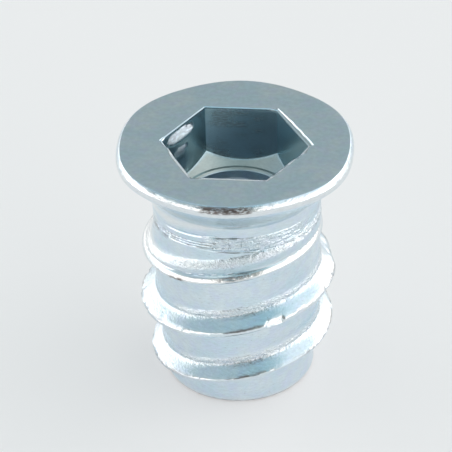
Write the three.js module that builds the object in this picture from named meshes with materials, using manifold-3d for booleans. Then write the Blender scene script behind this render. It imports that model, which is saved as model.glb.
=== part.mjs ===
// Screw-in insert nut for wood: a flange with a hexagon socket, a round core with a coarse outside
// wood thread, a plain pilot end and a bore right through. It is cold formed in one piece of steel.
// Millimetres, +Z up. The origin is the centre of the flat pilot end, so the nut stands on it with
// the flange on top, and a corner of the hexagon points along +X.

import * as THREE from "three";
import { ParametricGeometry } from "three/addons/geometries/ParametricGeometry.js";
import { mergeVertices } from "three/addons/utils/BufferGeometryUtils.js";
import Module from "manifold-3d";

const wasm = await Module();
wasm.setup();

// ---- Driving dimensions ------------------------------------------------------------------------

const overallLength = 17; // from the pilot end to the flange's top face

const flangeDiameter = 15.1; // mean, halfway between a lobe and a hollow of its outline
const flangeConeAngle = 43; // degrees from the axis, of the cone from the rim down to the neck
const flangeRimRounding = 0.4; // radius of the edge between the top face and the cone
const flangeLobeHeight = 0.075; // how far the outline swells between two hexagon corners

const neckDiameter = 10.75; // the plain stretch under the flange, which the thread doesn't reach
const neckLength = 0.8; // from the cone's foot
const neckStepLength = 1.1; // the cone from the neck down to the core
const neckFillet = 0.3; // radius of the hollow corner at the cone's foot
const coreDiameter = 10.65; // the round body between the thread's ridges
const pilotDiameter = 9.8;
const pilotLength = 1.5;
const pilotTaperLength = 4; // from the pilot's diameter up to the core's
const pilotRounding = 0.3;

const threadDiameter = 12.7; // over the fullest turn
const threadLead = 3.95; // rise in one right-hand turn
const threadTurns = 2.8;
const threadStartHeight = 1.05; // of the ridge's middle at its lower end
const threadStartAngle = 117; // degrees round from +X at the lower end
const threadBaseWidth = 1.5; // of the ridge where it leaves the core
const threadFlankAngle = 35; // degrees from square to the axis
const threadRootFillet = 0.3;
const threadRunIn = 0.4; // turns over which the ridge grows to its full height
const threadRunInSteepness = 0.6; // under 1 it rises faster at first
const threadRunOut = 1.05; // turns over which it sinks away again
const threadFootDepth = 0.4; // how far the ridge's foot is sunk in the core
const threadRootSink = 0.04; // how far the root fillet runs into the core's surface

const hexAcrossFlats = 8;
const hexDepth = 3.35; // at the corners
const socketFloorSlope = 42; // degrees, of the cone under the hexagon's corners
const socketFloorDepth = 4.2; // of the floor round the bore's mouth
const boreDiameter = 6.65; // tapping size of the inside thread
const boreMouthChamfer = 0.15;
const boreEndChamfer = 0.4;

// ---- How finely round shapes are divided -------------------------------------------------------

const roundSegments = 72;
const boreSegments = 48;
const threadSegmentsPerTurn = 48;
const roundingSegments = 4;
const cutterOverrun = 1; // how far a cutting shape reaches past the face that it opens

// ---- Sizes worked out from them ----------------------------------------------------------------

const HEX_SIDES = 6;
const flangeRadius = flangeDiameter / 2;
const flangeCone = THREE.MathUtils.degToRad(flangeConeAngle);
const neckRadius = neckDiameter / 2;
const coneTopRadius = flangeRadius - flangeRimRounding * (1 - Math.cos(flangeCone));
const coneTopHeight = overallLength - flangeRimRounding * (1 + Math.sin(flangeCone));
const coneFootHeight = coneTopHeight - (coneTopRadius - neckRadius) / Math.tan(flangeCone);
const coreRadius = coreDiameter / 2;
const pilotRadius = pilotDiameter / 2;
const hexCornerRadius = hexAcrossFlats / 2 / Math.cos(Math.PI / HEX_SIDES);
const boreRadius = boreDiameter / 2;

/** Radius of the core at a height: the pilot, then a cone, then the full core. */
function coreRadiusAt(height) {
  const share = THREE.MathUtils.clamp((height - pilotLength) / pilotTaperLength, 0, 1);
  return THREE.MathUtils.lerp(pilotRadius, coreRadius, share);
}

// ---- Solids ------------------------------------------------------------------------------------

/** A closed geometry as a manifold-3d solid. */
function solidFrom(geometry) {
  geometry.deleteAttribute("normal");
  geometry.deleteAttribute("uv");
  const merged = mergeVertices(geometry);
  return new wasm.Manifold(
    new wasm.Mesh({
      numProp: 3,
      vertProperties: merged.attributes.position.array,
      triVerts: new Uint32Array(merged.index.array),
    }),
  );
}

/** A manifold-3d solid as a geometry with flat-shaded normals. */
function geometryFrom(solid) {
  const { vertProperties, triVerts } = solid.getMesh();
  const shared = new THREE.BufferGeometry();
  shared.setAttribute("position", new THREE.BufferAttribute(vertProperties, 3));
  shared.setIndex(new THREE.BufferAttribute(triVerts, 1));
  const geometry = shared.toNonIndexed();
  geometry.computeVertexNormals();
  return geometry;
}

/** Turns a profile of [radius, height] points round the Z axis, from its lower end to its upper. */
function turned(profile, segments) {
  const points = profile.map(([radius, height]) => new THREE.Vector2(radius, height));
  return new THREE.LatheGeometry(points, segments).rotateX(Math.PI / 2);
}

/** [radius, height] points along a part of a circle, from one angle to another in degrees. */
function roundedEdge(centreRadius, centreHeight, rounding, fromAngle, toAngle) {
  const arc = new THREE.ArcCurve(
    centreRadius,
    centreHeight,
    rounding,
    THREE.MathUtils.degToRad(fromAngle),
    THREE.MathUtils.degToRad(toAngle),
    toAngle < fromAngle,
  );
  return arc.getPoints(roundingSegments).map((point) => point.toArray());
}

/**
 * [radius, height] points of the shank, going up: rounded pilot end, cone, core, the step up to the
 * neck, and the hollow corner that leads from the neck into the flange's cone.
 */
function shankProfile() {
  const neckStart = coneFootHeight - neckLength;
  const hollowHeight = coneFootHeight - neckFillet * Math.tan(flangeCone / 2);
  return [
    [0, 0],
    ...roundedEdge(pilotRadius - pilotRounding, pilotRounding, pilotRounding, -90, 0),
    [pilotRadius, pilotLength],
    [coreRadius, pilotLength + pilotTaperLength],
    [coreRadius, neckStart - neckStepLength],
    [neckRadius, neckStart],
    ...roundedEdge(neckRadius + neckFillet, hollowHeight, neckFillet, 180, 180 - flangeConeAngle),
  ];
}

/** [radius, height] points of the flange, going up: the rounded rim above its cone, and the top face. */
function flangeProfile() {
  const rimRadius = flangeRadius - flangeRimRounding;
  const rimHeight = overallLength - flangeRimRounding;
  return [
    ...roundedEdge(rimRadius, rimHeight, flangeRimRounding, -flangeConeAngle, 90),
    [0, overallLength],
  ];
}

/**
 * The outside without its thread: the shank and the flange turned in one. The flange's outline
 * swells a little between the hexagon's corners, most at the rim and not at all at the neck.
 */
function body() {
  const blank = turned([...shankProfile(), ...flangeProfile()], roundSegments);
  const position = blank.attributes.position;
  for (let i = 0; i < position.count; i++) {
    const [x, y] = [position.getX(i), position.getY(i)];
    const share = THREE.MathUtils.smoothstep(Math.hypot(x, y), neckRadius + neckFillet, flangeRadius);
    const lobe = share * flangeLobeHeight * Math.cos(HEX_SIDES * Math.atan2(y, x));
    const swell = 1 - lobe / flangeRadius;
    position.setXY(i, x * swell, y * swell);
  }
  return solidFrom(blank);
}

/**
 * Height of the thread's crest above the core, by turns from its lower end. The ridge rises steeply
 * out of the pilot, is fullest halfway and sinks into the core again below the neck.
 */
function crestHeightAt(turn) {
  const fullHeight = threadDiameter / 2 - coreRadius;
  const rise = Math.sin((Math.PI / 2) * Math.min(turn / threadRunIn, 1)) ** threadRunInSteepness;
  const fall = Math.sin((Math.PI / 2) * Math.min((threadTurns - turn) / threadRunOut, 1));
  return fullHeight * rise * fall;
}

/**
 * Corners of the ridge's section at a turn, as [radius, height from the ridge's middle]. It is a
 * trapezoid with two sloping flanks, a land at the crest, a small hollow at each root, and its foot
 * sunk in the core. Where the ridge is low its land is wide, because the flanks keep their places.
 */
function ridgeSection(turn) {
  const root = coreRadiusAt(threadStartHeight + threadLead * turn);
  const crest = root + crestHeightAt(turn);
  const foot = root - threadFootDepth;
  const slope = Math.tan(THREE.MathUtils.degToRad(threadFlankAngle));
  const halfWidthAt = (radius) => threadBaseWidth / 2 - (radius - root) * slope;
  const filletTop = Math.min(root + threadRootFillet, crest);
  const filletFoot = root - threadRootSink;
  const upperHalf = [
    [foot, halfWidthAt(root) + (filletTop - filletFoot)],
    [filletFoot, halfWidthAt(root) + (filletTop - filletFoot)],
    [filletTop, halfWidthAt(filletTop)],
    [crest, halfWidthAt(crest)],
  ];
  const lowerHalf = upperHalf.map(([radius, height]) => [radius, -height]).reverse();
  return [...upperHalf, ...lowerHalf];
}

/** The outside wood thread: the ridge's section carried up a right-hand helix, closed at both ends. */
function woodThread() {
  const corners = ridgeSection(0).length;
  const steps = Math.ceil(threadTurns * threadSegmentsPerTurn);
  const startAngle = THREE.MathUtils.degToRad(threadStartAngle);
  const ridge = new ParametricGeometry(
    (around, along, target) => {
      const turn = along * threadTurns;
      const angle = startAngle + turn * 2 * Math.PI;
      const middle = threadStartHeight + threadLead * turn;
      const atEnd = along === 0 || along === 1;
      const corner = ridgeSection(turn)[Math.round(around * corners) % corners];
      const [radius, height] = atEnd ? [coreRadiusAt(middle) - threadFootDepth, 0] : corner;
      target.set(radius * Math.cos(angle), radius * Math.sin(angle), middle + height);
    },
    corners,
    steps,
  );
  return solidFrom(ridge);
}

/** What the punch leaves: a hexagon with a cone under its corners and a level floor inside that. */
function hexSocket() {
  const slope = Math.tan(THREE.MathUtils.degToRad(socketFloorSlope));
  const top = overallLength + cutterOverrun;
  const floor = overallLength - socketFloorDepth;
  const reach = hexCornerRadius + cutterOverrun;
  const prism = new THREE.CylinderGeometry(hexCornerRadius, hexCornerRadius, top, HEX_SIDES)
    .rotateX(Math.PI / 2)
    .rotateZ(Math.PI / 2)
    .translate(0, 0, top / 2);
  const punchTip = turned(
    [
      [0, floor],
      [hexCornerRadius - (socketFloorDepth - hexDepth) / slope, floor],
      [reach, overallLength - hexDepth + cutterOverrun * slope],
      [reach, top + cutterOverrun],
      [0, top + cutterOverrun],
    ],
    boreSegments,
  );
  return solidFrom(prism).intersect(solidFrom(punchTip));
}

/** The bore, from below the pilot end up through the socket's floor, with a chamfer at each mouth. */
function bore() {
  const mouth = overallLength - socketFloorDepth;
  return solidFrom(
    turned(
      [
        [0, -cutterOverrun],
        [boreRadius + boreEndChamfer + cutterOverrun, -cutterOverrun],
        [boreRadius, boreEndChamfer],
        [boreRadius, mouth - boreMouthChamfer],
        [boreRadius + boreMouthChamfer + cutterOverrun, mouth + cutterOverrun],
        [0, mouth + cutterOverrun],
      ],
      boreSegments,
    ),
  );
}

// ---- The part ----------------------------------------------------------------------------------

const zincPlatedSteel = new THREE.MeshStandardMaterial({
  color: new THREE.Color(0.62, 0.69, 0.74),
  roughness: 0.28,
  metalness: 1,
});

const nutSolid = body().add(woodThread()).subtract(hexSocket()).subtract(bore());
const insertNut = new THREE.Mesh(geometryFrom(nutSolid), zincPlatedSteel);
insertNut.name = "insert_nut";

const group = new THREE.Group();
group.add(insertNut);

export default group;
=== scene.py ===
"""Looks of a screw-in insert nut: its detailed surface, its zinc finish, and a small studio.

The nut is one closed surface wound round the Z axis. Rows of points run from the pilot end up the
outside of the shank, over the flange, down the hexagon socket and the threaded bore, and back to
the pilot end. Along the two threads the rows climb with the helix, so that a ridge's crest and its
roots are lines of the mesh. Shapes are worked out in millimetres and written to the mesh in metres.
"""

from __future__ import annotations

import itertools
import logging
import math
from dataclasses import dataclass, field
from enum import Enum

import bpy
import numpy as np
from mathutils import Matrix, Vector


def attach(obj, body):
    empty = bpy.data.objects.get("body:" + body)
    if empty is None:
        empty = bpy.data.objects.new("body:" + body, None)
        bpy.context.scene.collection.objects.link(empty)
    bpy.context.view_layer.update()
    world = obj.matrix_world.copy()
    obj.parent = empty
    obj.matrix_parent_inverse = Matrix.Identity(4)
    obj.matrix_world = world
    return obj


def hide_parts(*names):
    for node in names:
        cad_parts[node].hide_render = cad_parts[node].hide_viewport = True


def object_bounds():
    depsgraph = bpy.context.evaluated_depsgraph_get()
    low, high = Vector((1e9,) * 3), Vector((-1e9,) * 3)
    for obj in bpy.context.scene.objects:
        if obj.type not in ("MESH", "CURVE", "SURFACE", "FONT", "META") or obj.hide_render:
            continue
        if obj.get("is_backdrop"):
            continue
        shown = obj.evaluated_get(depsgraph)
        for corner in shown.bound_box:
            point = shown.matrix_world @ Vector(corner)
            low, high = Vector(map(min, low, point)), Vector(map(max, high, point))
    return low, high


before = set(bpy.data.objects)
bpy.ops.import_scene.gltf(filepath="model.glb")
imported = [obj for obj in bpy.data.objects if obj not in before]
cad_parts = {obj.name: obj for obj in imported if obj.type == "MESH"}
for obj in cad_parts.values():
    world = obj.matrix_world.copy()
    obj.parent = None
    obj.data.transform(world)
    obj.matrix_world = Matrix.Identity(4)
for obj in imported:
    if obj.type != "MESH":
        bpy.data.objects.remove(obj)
CAD_BOX = [list(corner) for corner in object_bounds()]

LOG = logging.getLogger("insert_nut_scene")
MM = 0.001
FULL_TURN = 2 * math.pi
HEX_SIDES = 6
NODE = "insert_nut"
BODY = "root"

# What several parts of the nut share, in millimetres and radians.
TOP = round(CAD_BOX[1][2] / MM, 3)  # height of the top face, which the frame gives
FRONT = math.radians(-84)  # the side that faces the camera
CORE_RADIUS = 5.325  # of the shank, between the thread's ridges
CONE_ANGLE = math.radians(43)  # of the flange's under side, from the axis
CONE_HEIGHT = 14.75  # where the shank's rows give way to the flange's
MOUTH_RADIUS = 5.2  # where the flange's rows give way to the socket's
FLOOR_DEPTH = 4.2  # of the socket
BORE_RADIUS = 3.325
BORE_CHAMFER = 0.15  # round the bore, at the socket's floor

Array = np.ndarray
Colour = tuple[float, float, float]
Ends = tuple[float, float]  # where a share is 0 and where it is 1, or a value at both of these
Hump = tuple[float, float]  # a bell's middle and its half width


class Zone(Enum):
    """Kinds of surface that the finish tells apart, each a vertex attribute from 0 to 1."""

    ROLLED = "rolled"  # torn and pitted where the thread rollers squeezed the steel
    SATIN = "satin"  # the pressed faces, which spread their reflection
    BURNISH = "burnish"  # worn or rubbed bright, with a smooth skin; also the painted highlight on the gathered shelf
    SCUFF = "scuff"  # dull brownish tears and dirt in the plating, dark lines along the crests' edges, and painted contact shade at the pilot's foot
    LINES = "lines"  # fine lines drawn round the nut
    DEEP = "deep"  # painted shade: a darker blue inside the socket, under the flange, in the neck's hollow and in the shelf's pocket
    STAIN = "stain"  # greyer: painted shade on the flange's under side, and a grey tint on the socket's floor


# ---- Arithmetic shared by the surfaces ---------------------------------------------------------


def smooth_step(value: Array, low: float, high: float) -> Array:
    """Share from 0 at low to 1 at high, level at both: 3 t squared less 2 t cubed.

    Args:
        value: What is compared.
        low: Where the share is 0.
        high: Where it is 1; it may be under low, and the share then falls.

    Returns:
        The share at each value.
    """
    share = np.clip((value - low) / (high - low), 0.0, 1.0)
    return share * share * (3.0 - 2.0 * share)


def between(share: Array, ends: Ends) -> Array:
    """The value that lies a share of the way from one end to the other."""
    return ends[0] + (ends[1] - ends[0]) * share


def soft_max(first: Array, second: Array | float, blend: Array | float) -> Array:
    """The larger of two, with a hollow fillet where they cross.

    The larger one, plus the square of what their difference lacks of blend, over 4 blend.

    Args:
        first: One field.
        second: The other field.
        blend: The difference under which the fillet begins.

    Returns:
        The blended field.
    """
    lack = np.maximum(blend - np.abs(first - second), 0.0)
    return np.maximum(first, second) + lack * lack / (4.0 * np.maximum(blend, 1e-9))


def soft_min(first: Array, second: Array | float, blend: Array | float) -> Array:
    """The smaller of two, with a rounded edge where they cross: soft_max turned upside down."""
    return -soft_max(-first, -second, blend)


def bell(value: Array, middle: Array | float, half_width: float) -> Array:
    """A hump of height 1: one less the squared distance in half widths, squared, and 0 outside."""
    share = (value - middle) / half_width
    return np.maximum(1.0 - share * share, 0.0) ** 2


def turned_apart(angle: Array, other: float) -> Array:
    """How far an angle lies from another one, from minus half a turn to half a turn, in radians."""
    return (angle - other + math.pi) % FULL_TURN - math.pi


@dataclass(frozen=True)
class Stretch:
    """A stretch of angles, heights or turns that fades in at one end and out at the other."""

    rise: Ends  # where its share is still 0, and where it has risen to 1
    fall: Ends  # where its share is 0 again, and where it was still 1

    def at(self, value: Array) -> Array:
        """The share at each value: one smooth step up times another one down."""
        return smooth_step(value, *self.rise) * smooth_step(value, *self.fall)


@dataclass(frozen=True)
class Grain:
    """A smooth random field: seeded lattice values, blended between the lattice's points."""

    seed: int  # seed of the lattice
    cell: tuple[float, float, float]  # size of a lattice cell along X, Y and Z, in millimetres
    cells: int = 61  # lattice points each way, after which the field repeats

    def at(self, x: Array, y: Array, z: Array) -> Array:
        """The field from about -1 to 1.

        Each of the 8 lattice values round a point counts by the product of its smooth shares
        along X, Y and Z.

        Args:
            x: Places along X in millimetres.
            y: Places along Y.
            z: Places along Z.

        Returns:
            The field at each place.
        """
        lattice = np.random.default_rng(self.seed).uniform(-1.0, 1.0, (self.cells,) * 3)
        places = [np.asarray(v, float) / size for v, size in zip((x, y, z), self.cell)]
        lows = [np.floor(place).astype(int) for place in places]
        shares = [smooth_step(place - low, 0.0, 1.0) for place, low in zip(places, lows)]
        total = np.zeros(np.broadcast(*places).shape)
        for corner in itertools.product((0, 1), repeat=3):
            weight = 1.0
            for share, up in zip(shares, corner):
                weight = weight * (share if up else 1.0 - share)
            index = tuple((low + up) % self.cells for low, up in zip(lows, corner))
            total = total + weight * lattice[index]
        return total


@dataclass(frozen=True)
class Tears:
    """The ragged skin of torn steel: a coarse grain and a share of a finer one."""

    coarse: Grain
    finer: Grain
    finer_share: float = 0.6

    def at(self, x: Array, y: Array, z: Array) -> Array:
        """The field, from about -1.6 to 1.6, at places in millimetres."""
        return self.coarse.at(x, y, z) + self.finer_share * self.finer.at(x, y, z)


# ---- The winding of rows into one closed mesh --------------------------------------------------


@dataclass
class Band:
    """Rows of points round the axis, which follow one another along the surface."""

    angle: Array  # angle of each point round the axis, rows by columns, in radians
    radius: Array  # distance of each point from the axis, in millimetres
    height: Array  # height of each point over the pilot end, in millimetres
    zones: dict[Zone, Array] = field(default_factory=dict)  # shares at each point

    def points(self) -> Array:
        """The points as X, Y and Z in millimetres: radius times cosine and sine, and height."""
        x = self.radius * np.cos(self.angle)
        y = self.radius * np.sin(self.angle)
        return np.stack([x, y, self.height], axis=-1).reshape(-1, 3)

    def part(self, rows: slice) -> Band:
        """Some of the band's rows, as a band of their own."""
        zones = {zone: share[rows] for zone, share in self.zones.items()}
        return Band(self.angle[rows], self.radius[rows], self.height[rows], zones)


@dataclass
class Winding:
    """Collects bands of rows, and joins each row to the next all the way round the loop."""

    columns: int
    points: list[Array] = field(default_factory=list)
    zones: dict[Zone, list[Array]] = field(default_factory=lambda: {z: [] for z in Zone})
    faces: list[Array] = field(default_factory=list)
    count: int = 0
    first: Array | None = None
    last: Array | None = None

    def angles(self, columns: int | None = None) -> Array:
        """Even angles of the columns round the axis, from 0."""
        columns = columns or self.columns
        return FULL_TURN * np.arange(columns) / columns

    def _store(self, band: Band) -> Array:
        """Keeps a band's points and zones.

        Args:
            band: The rows to keep.

        Returns:
            The index of each point, rows by columns.
        """
        self.points.append(band.points())
        for zone in Zone:
            share = band.zones.get(zone, 0.0)
            self.zones[zone].append(np.broadcast_to(share, band.radius.shape).ravel())
        index = self.count + np.arange(band.radius.size).reshape(band.radius.shape)
        self.count += band.radius.size
        return index

    def _join(self, low: Array, high: Array) -> None:
        """Joins two rows by triangles; one of them may have half as many points as the other.

        Args:
            low: Point indices of the earlier row.
            high: Point indices of the later row.
        """
        low_next, high_next = np.roll(low, -1), np.roll(high, -1)
        if low.size == high.size:
            triangles = ((low, low_next, high_next), (low, high_next, high))
        elif low.size == 2 * high.size:
            even, odd, following = low[0::2], low[1::2], low_next[1::2]
            triangles = ((even, odd, high), (odd, high_next, high), (odd, following, high_next))
        else:
            even, odd, following = high[0::2], high[1::2], high_next[1::2]
            triangles = ((low, odd, even), (low, low_next, odd), (low_next, following, odd))
        self.faces += [np.stack(corners, 1) for corners in triangles]

    def add(self, band: Band) -> None:
        """Adds rows that are whole rings, and joins them to what came before.

        Args:
            band: The rings, each a row.
        """
        index = self._store(band)
        if self.first is None:
            self.first = index[0]
        else:
            self._join(self.last, index[0])
        for low, high in zip(index[:-1], index[1:]):
            self._join(low, high)
        self.last = index[-1]

    def add_helix(self, band: Band, rise: int, shift: int, after: Band) -> None:
        """Adds rows that climb with a helix, between the last ring and a following one.

        A point outside the two rings gives way to the ring's own point in that column. Past the
        last column, a row goes on as the row one lead further along.

        Args:
            band: The climbing rows.
            rise: 1 where the rows follow one another upwards, and -1 downwards.
            shift: Rows in one lead.
            after: The ring that ends the climbing rows.
        """
        before = self.last
        low_end = self.points_height(before)
        index = self._store(band)
        end = self._store(after)[0]
        high_end = after.height[0]
        index = np.where((band.height - low_end) * rise <= 0, before, index)
        index = np.where((band.height - high_end) * rise >= 0, end, index)
        rows = index.shape[0]
        onward = np.arange(rows) + shift * rise
        seam = np.where(onward < 0, before[0], index[np.clip(onward, 0, rows - 1), 0])
        seam = np.where(onward >= rows, end[0], seam)
        following = np.concatenate([index[:, 1:], seam[:, None]], axis=1)
        a, b = index[:-1].ravel(), following[:-1].ravel()
        c, d = following[1:].ravel(), index[1:].ravel()
        self.faces += [np.stack([a, b, c], 1), np.stack([a, c, d], 1)]
        self.last = end

    def points_height(self, index: Array) -> Array:
        """Heights of points that are already stored, by their indices."""
        return np.concatenate(self.points)[index, 2]

    def close(self) -> tuple[Array, Array, dict[Zone, Array]]:
        """Joins the last ring to the first and drops empty triangles and unused points.

        Returns:
            The points in millimetres, the triangles, and each zone's share at the points.
        """
        self._join(self.last, self.first)
        faces = np.concatenate(self.faces)
        a, b, c = faces.T
        faces = faces[(a != b) & (b != c) & (c != a)]
        used, faces = np.unique(faces, return_inverse=True)
        points = np.concatenate(self.points)[used]
        zones = {zone: np.concatenate(parts)[used] for zone, parts in self.zones.items()}
        return points, faces.reshape(-1, 3), zones


# ---- The outside thread ------------------------------------------------------------------------

# Rows of points in one lead, from the ridge's middle outwards on both sides.
LAND_ROWS = (0.0, 1.0)  # shares of the land's half width
FLANK_ROWS = (0.06, 0.13, 0.26, 0.42, 0.6, 0.8, 1.0)  # shares of the flank
ROOT_ROWS = (0.05, 0.1, 0.15, 0.2, 0.27, 0.38, 0.52, 0.65)  # millimetres past the flank's foot
CORE_ROWS = 3
HALF_ROWS = len(LAND_ROWS) + len(FLANK_ROWS) + len(ROOT_ROWS) + CORE_ROWS
LEAD_ROWS = 2 * HALF_ROWS - 2
DOUBLE_ROWS = (
    -1.975, -1.6, -1.25, -1.0, -0.88, -0.8, -0.75, -0.7, -0.62, -0.54, -0.48, -0.43, -0.38,
    -0.33, -0.28, -0.22, -0.16, -0.11, -0.06, -0.01, 0.04, 0.09, 0.14, 0.2, 0.29, 0.38, 0.47,
    0.54, 0.6, 0.66, 0.73, 0.82, 0.92, 1.03, 1.15, 1.3, 1.5, 1.73,
)  # millimetres over the ridge's middle, where the crest is doubled


@dataclass(frozen=True)
class Spot:
    """Points of the shank's outside, seen from the thread: each value is an array over them."""

    angle: Array  # angle round the axis
    height: Array  # height over the pilot end
    front: Array  # angle from the front
    turn: Array  # turns along the nearest ridge
    offset: Array  # height over that ridge's middle
    crest: Array  # height of that ridge's crest over the core
    ridge: Array  # height of the surface over the core
    on_crest: Array  # share of the crest
    waver: Array  # a slow random field along the thread
    fine: Array  # a fine random field
    torn: Array  # a ragged random field


@dataclass(frozen=True)
class Nick:
    """A dent in a crest."""

    turn: float  # its place along the thread, in turns from the lower end
    offset: float  # its height over the ridge's middle, in millimetres
    depth: float
    length: float  # half its length along the thread
    width: float  # half its width across the ridge
    even: float = 0.8  # share of its depth that is even
    uneven: float = 0.4  # share that follows the fine random field

    def carve(self, spot: Spot) -> Array:
        """How deep the dent is: a bell along the thread times one across it, made uneven."""
        along = (spot.turn - self.turn) * FULL_TURN * CORE_RADIUS
        dent = bell(along, 0.0, self.length) * bell(spot.offset, self.offset, self.width)
        return self.depth * dent * (self.even + self.uneven * spot.fine)


@dataclass(frozen=True)
class Cut:
    """A flat knocked onto a crest."""

    turn: float  # its place along the thread, in turns from the lower end
    depth: float  # at the ridge's middle, in millimetres
    lean: float  # how much deeper it goes for each millimetre upwards
    length: float  # half its length along the thread
    ends: Stretch = Stretch((-1.0, -0.6), (1.0, 0.72))  # in half lengths from its middle
    clear: float = 2.0  # how far out it lies past its ends, where it cuts nothing
    rough: float = 0.01
    rounding: float = 0.03

    def flat(self, spot: Spot) -> Array:
        """Height of the flat: below the crest by the depth and the lean times the offset.

        Args:
            spot: Where the points lie.

        Returns:
            The height over the full crest, which is below 0 where the flat cuts.
        """
        along = (spot.turn - self.turn) * FULL_TURN * CORE_RADIUS / self.length
        lift = self.clear * (1 - self.ends.at(along))
        return lift + self.rough * spot.fine - self.depth - self.lean * spot.offset


@dataclass(frozen=True)
class DoubledCrest:
    """The crest near the thread's upper end, which the steel didn't fill when it was rolled.

    A bead runs along the lower flank. Above it a low shelf leans back into a ramp. Millimetres,
    but places along the thread are in turns.
    """

    begins: Ends = (1.85, 2.36)  # turns between which the crest takes this form
    gathered: Stretch = Stretch((1.93, 2.12), (2.42, 2.20))  # where the shelf is high
    land: float = 0.12
    chamfer: float = 0.26
    chamfer_slope: float = 0.62
    side_slope: float = 2.2  # of the bead's side above the chamfer
    side_drop: float = 0.16  # how far under the crest that side begins
    flank_rounding: float = 0.1
    side_rounding: float = 0.05
    land_rounding: float = 0.04
    shelf_height: float = 0.27
    shelf_share: float = 0.6  # the most that the shelf takes of the crest's height
    gathered_rise: float = 0.9  # how much higher, as a share
    shelf_end: float = 0.6  # over the ridge's middle, where the ramp begins
    gathered_shift: float = 0.3  # how much lower that end lies there
    ramp_foot: float = 1.3
    ramp_power: float = 1.25  # how hollow the ramp is
    tilt: float = 0.05  # of the shelf, as a share of its height for each millimetre
    pocket: Hump = (2.45, 0.17)  # turns where the shelf tilts most
    pocket_tilt: float = 0.6
    inner_end: Ends = (-0.3, 0.0)  # over the ridge's middle, where the shelf fades in
    shelf_rounding: float = 0.02
    hollow: float = 0.04  # fillet between the bead and the shelf
    foot: float = 0.06  # fillet between both and the core

    def share(self, turn: Array) -> Array:
        """Share of the crest's form that is doubled."""
        return smooth_step(turn, *self.begins)

    def shelf(self, turn: Array, offset: Array, crest: Array) -> Array:
        """Height of the shelf and its ramp.

        The lesser of a tilted plane and a ramp, which is the share of the way in from its foot
        to the shelf's edge, raised to a power.

        Args:
            turn: Turns along the thread.
            offset: Heights over the ridge's middle.
            crest: Heights of the crest over the core.

        Returns:
            The height over the core.
        """
        gathered = self.gathered.at(turn)
        level = np.minimum(self.shelf_height, self.shelf_share * crest)
        level = level * (1 + self.gathered_rise * gathered)
        end = self.shelf_end - self.gathered_shift * gathered
        ramp = np.clip((self.ramp_foot - offset) / (self.ramp_foot - end), 0, 2)
        tilt = self.tilt + self.pocket_tilt * bell(turn, *self.pocket)
        plane = level * (1.0 + tilt * (offset - self.shelf_end))
        shelf = soft_min(level * ramp**self.ramp_power, plane, self.shelf_rounding)
        return shelf * smooth_step(offset, *self.inner_end)

    def form(self, turn: Array, offset: Array, crest: Array, flank: Array, edge: Array) -> Array:
        """Height of the doubled crest.

        The bead is the least of the flank, the crest, the chamfer and the side. The form is the
        greatest of the bead, the shelf and the core.

        Args:
            turn: Turns along the thread.
            offset: Heights over the ridge's middle.
            crest: Heights of the crest over the core.
            flank: Heights of the lower flank.
            edge: Heights over the ridge's middle of the crest's lower edge.

        Returns:
            The height over the core.
        """
        past_land = offset - (self.land + edge)
        chamfer = crest - self.chamfer_slope * past_land
        side = crest - self.side_drop - self.side_slope * (past_land - self.chamfer)
        upper = soft_min(chamfer, side, self.side_rounding)
        bead = soft_min(soft_min(flank, crest, self.flank_rounding), upper, self.land_rounding)
        both = soft_max(bead, self.shelf(turn, offset, crest), self.hollow)
        return soft_max(both, 0.0, np.minimum(self.foot, crest))


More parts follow.
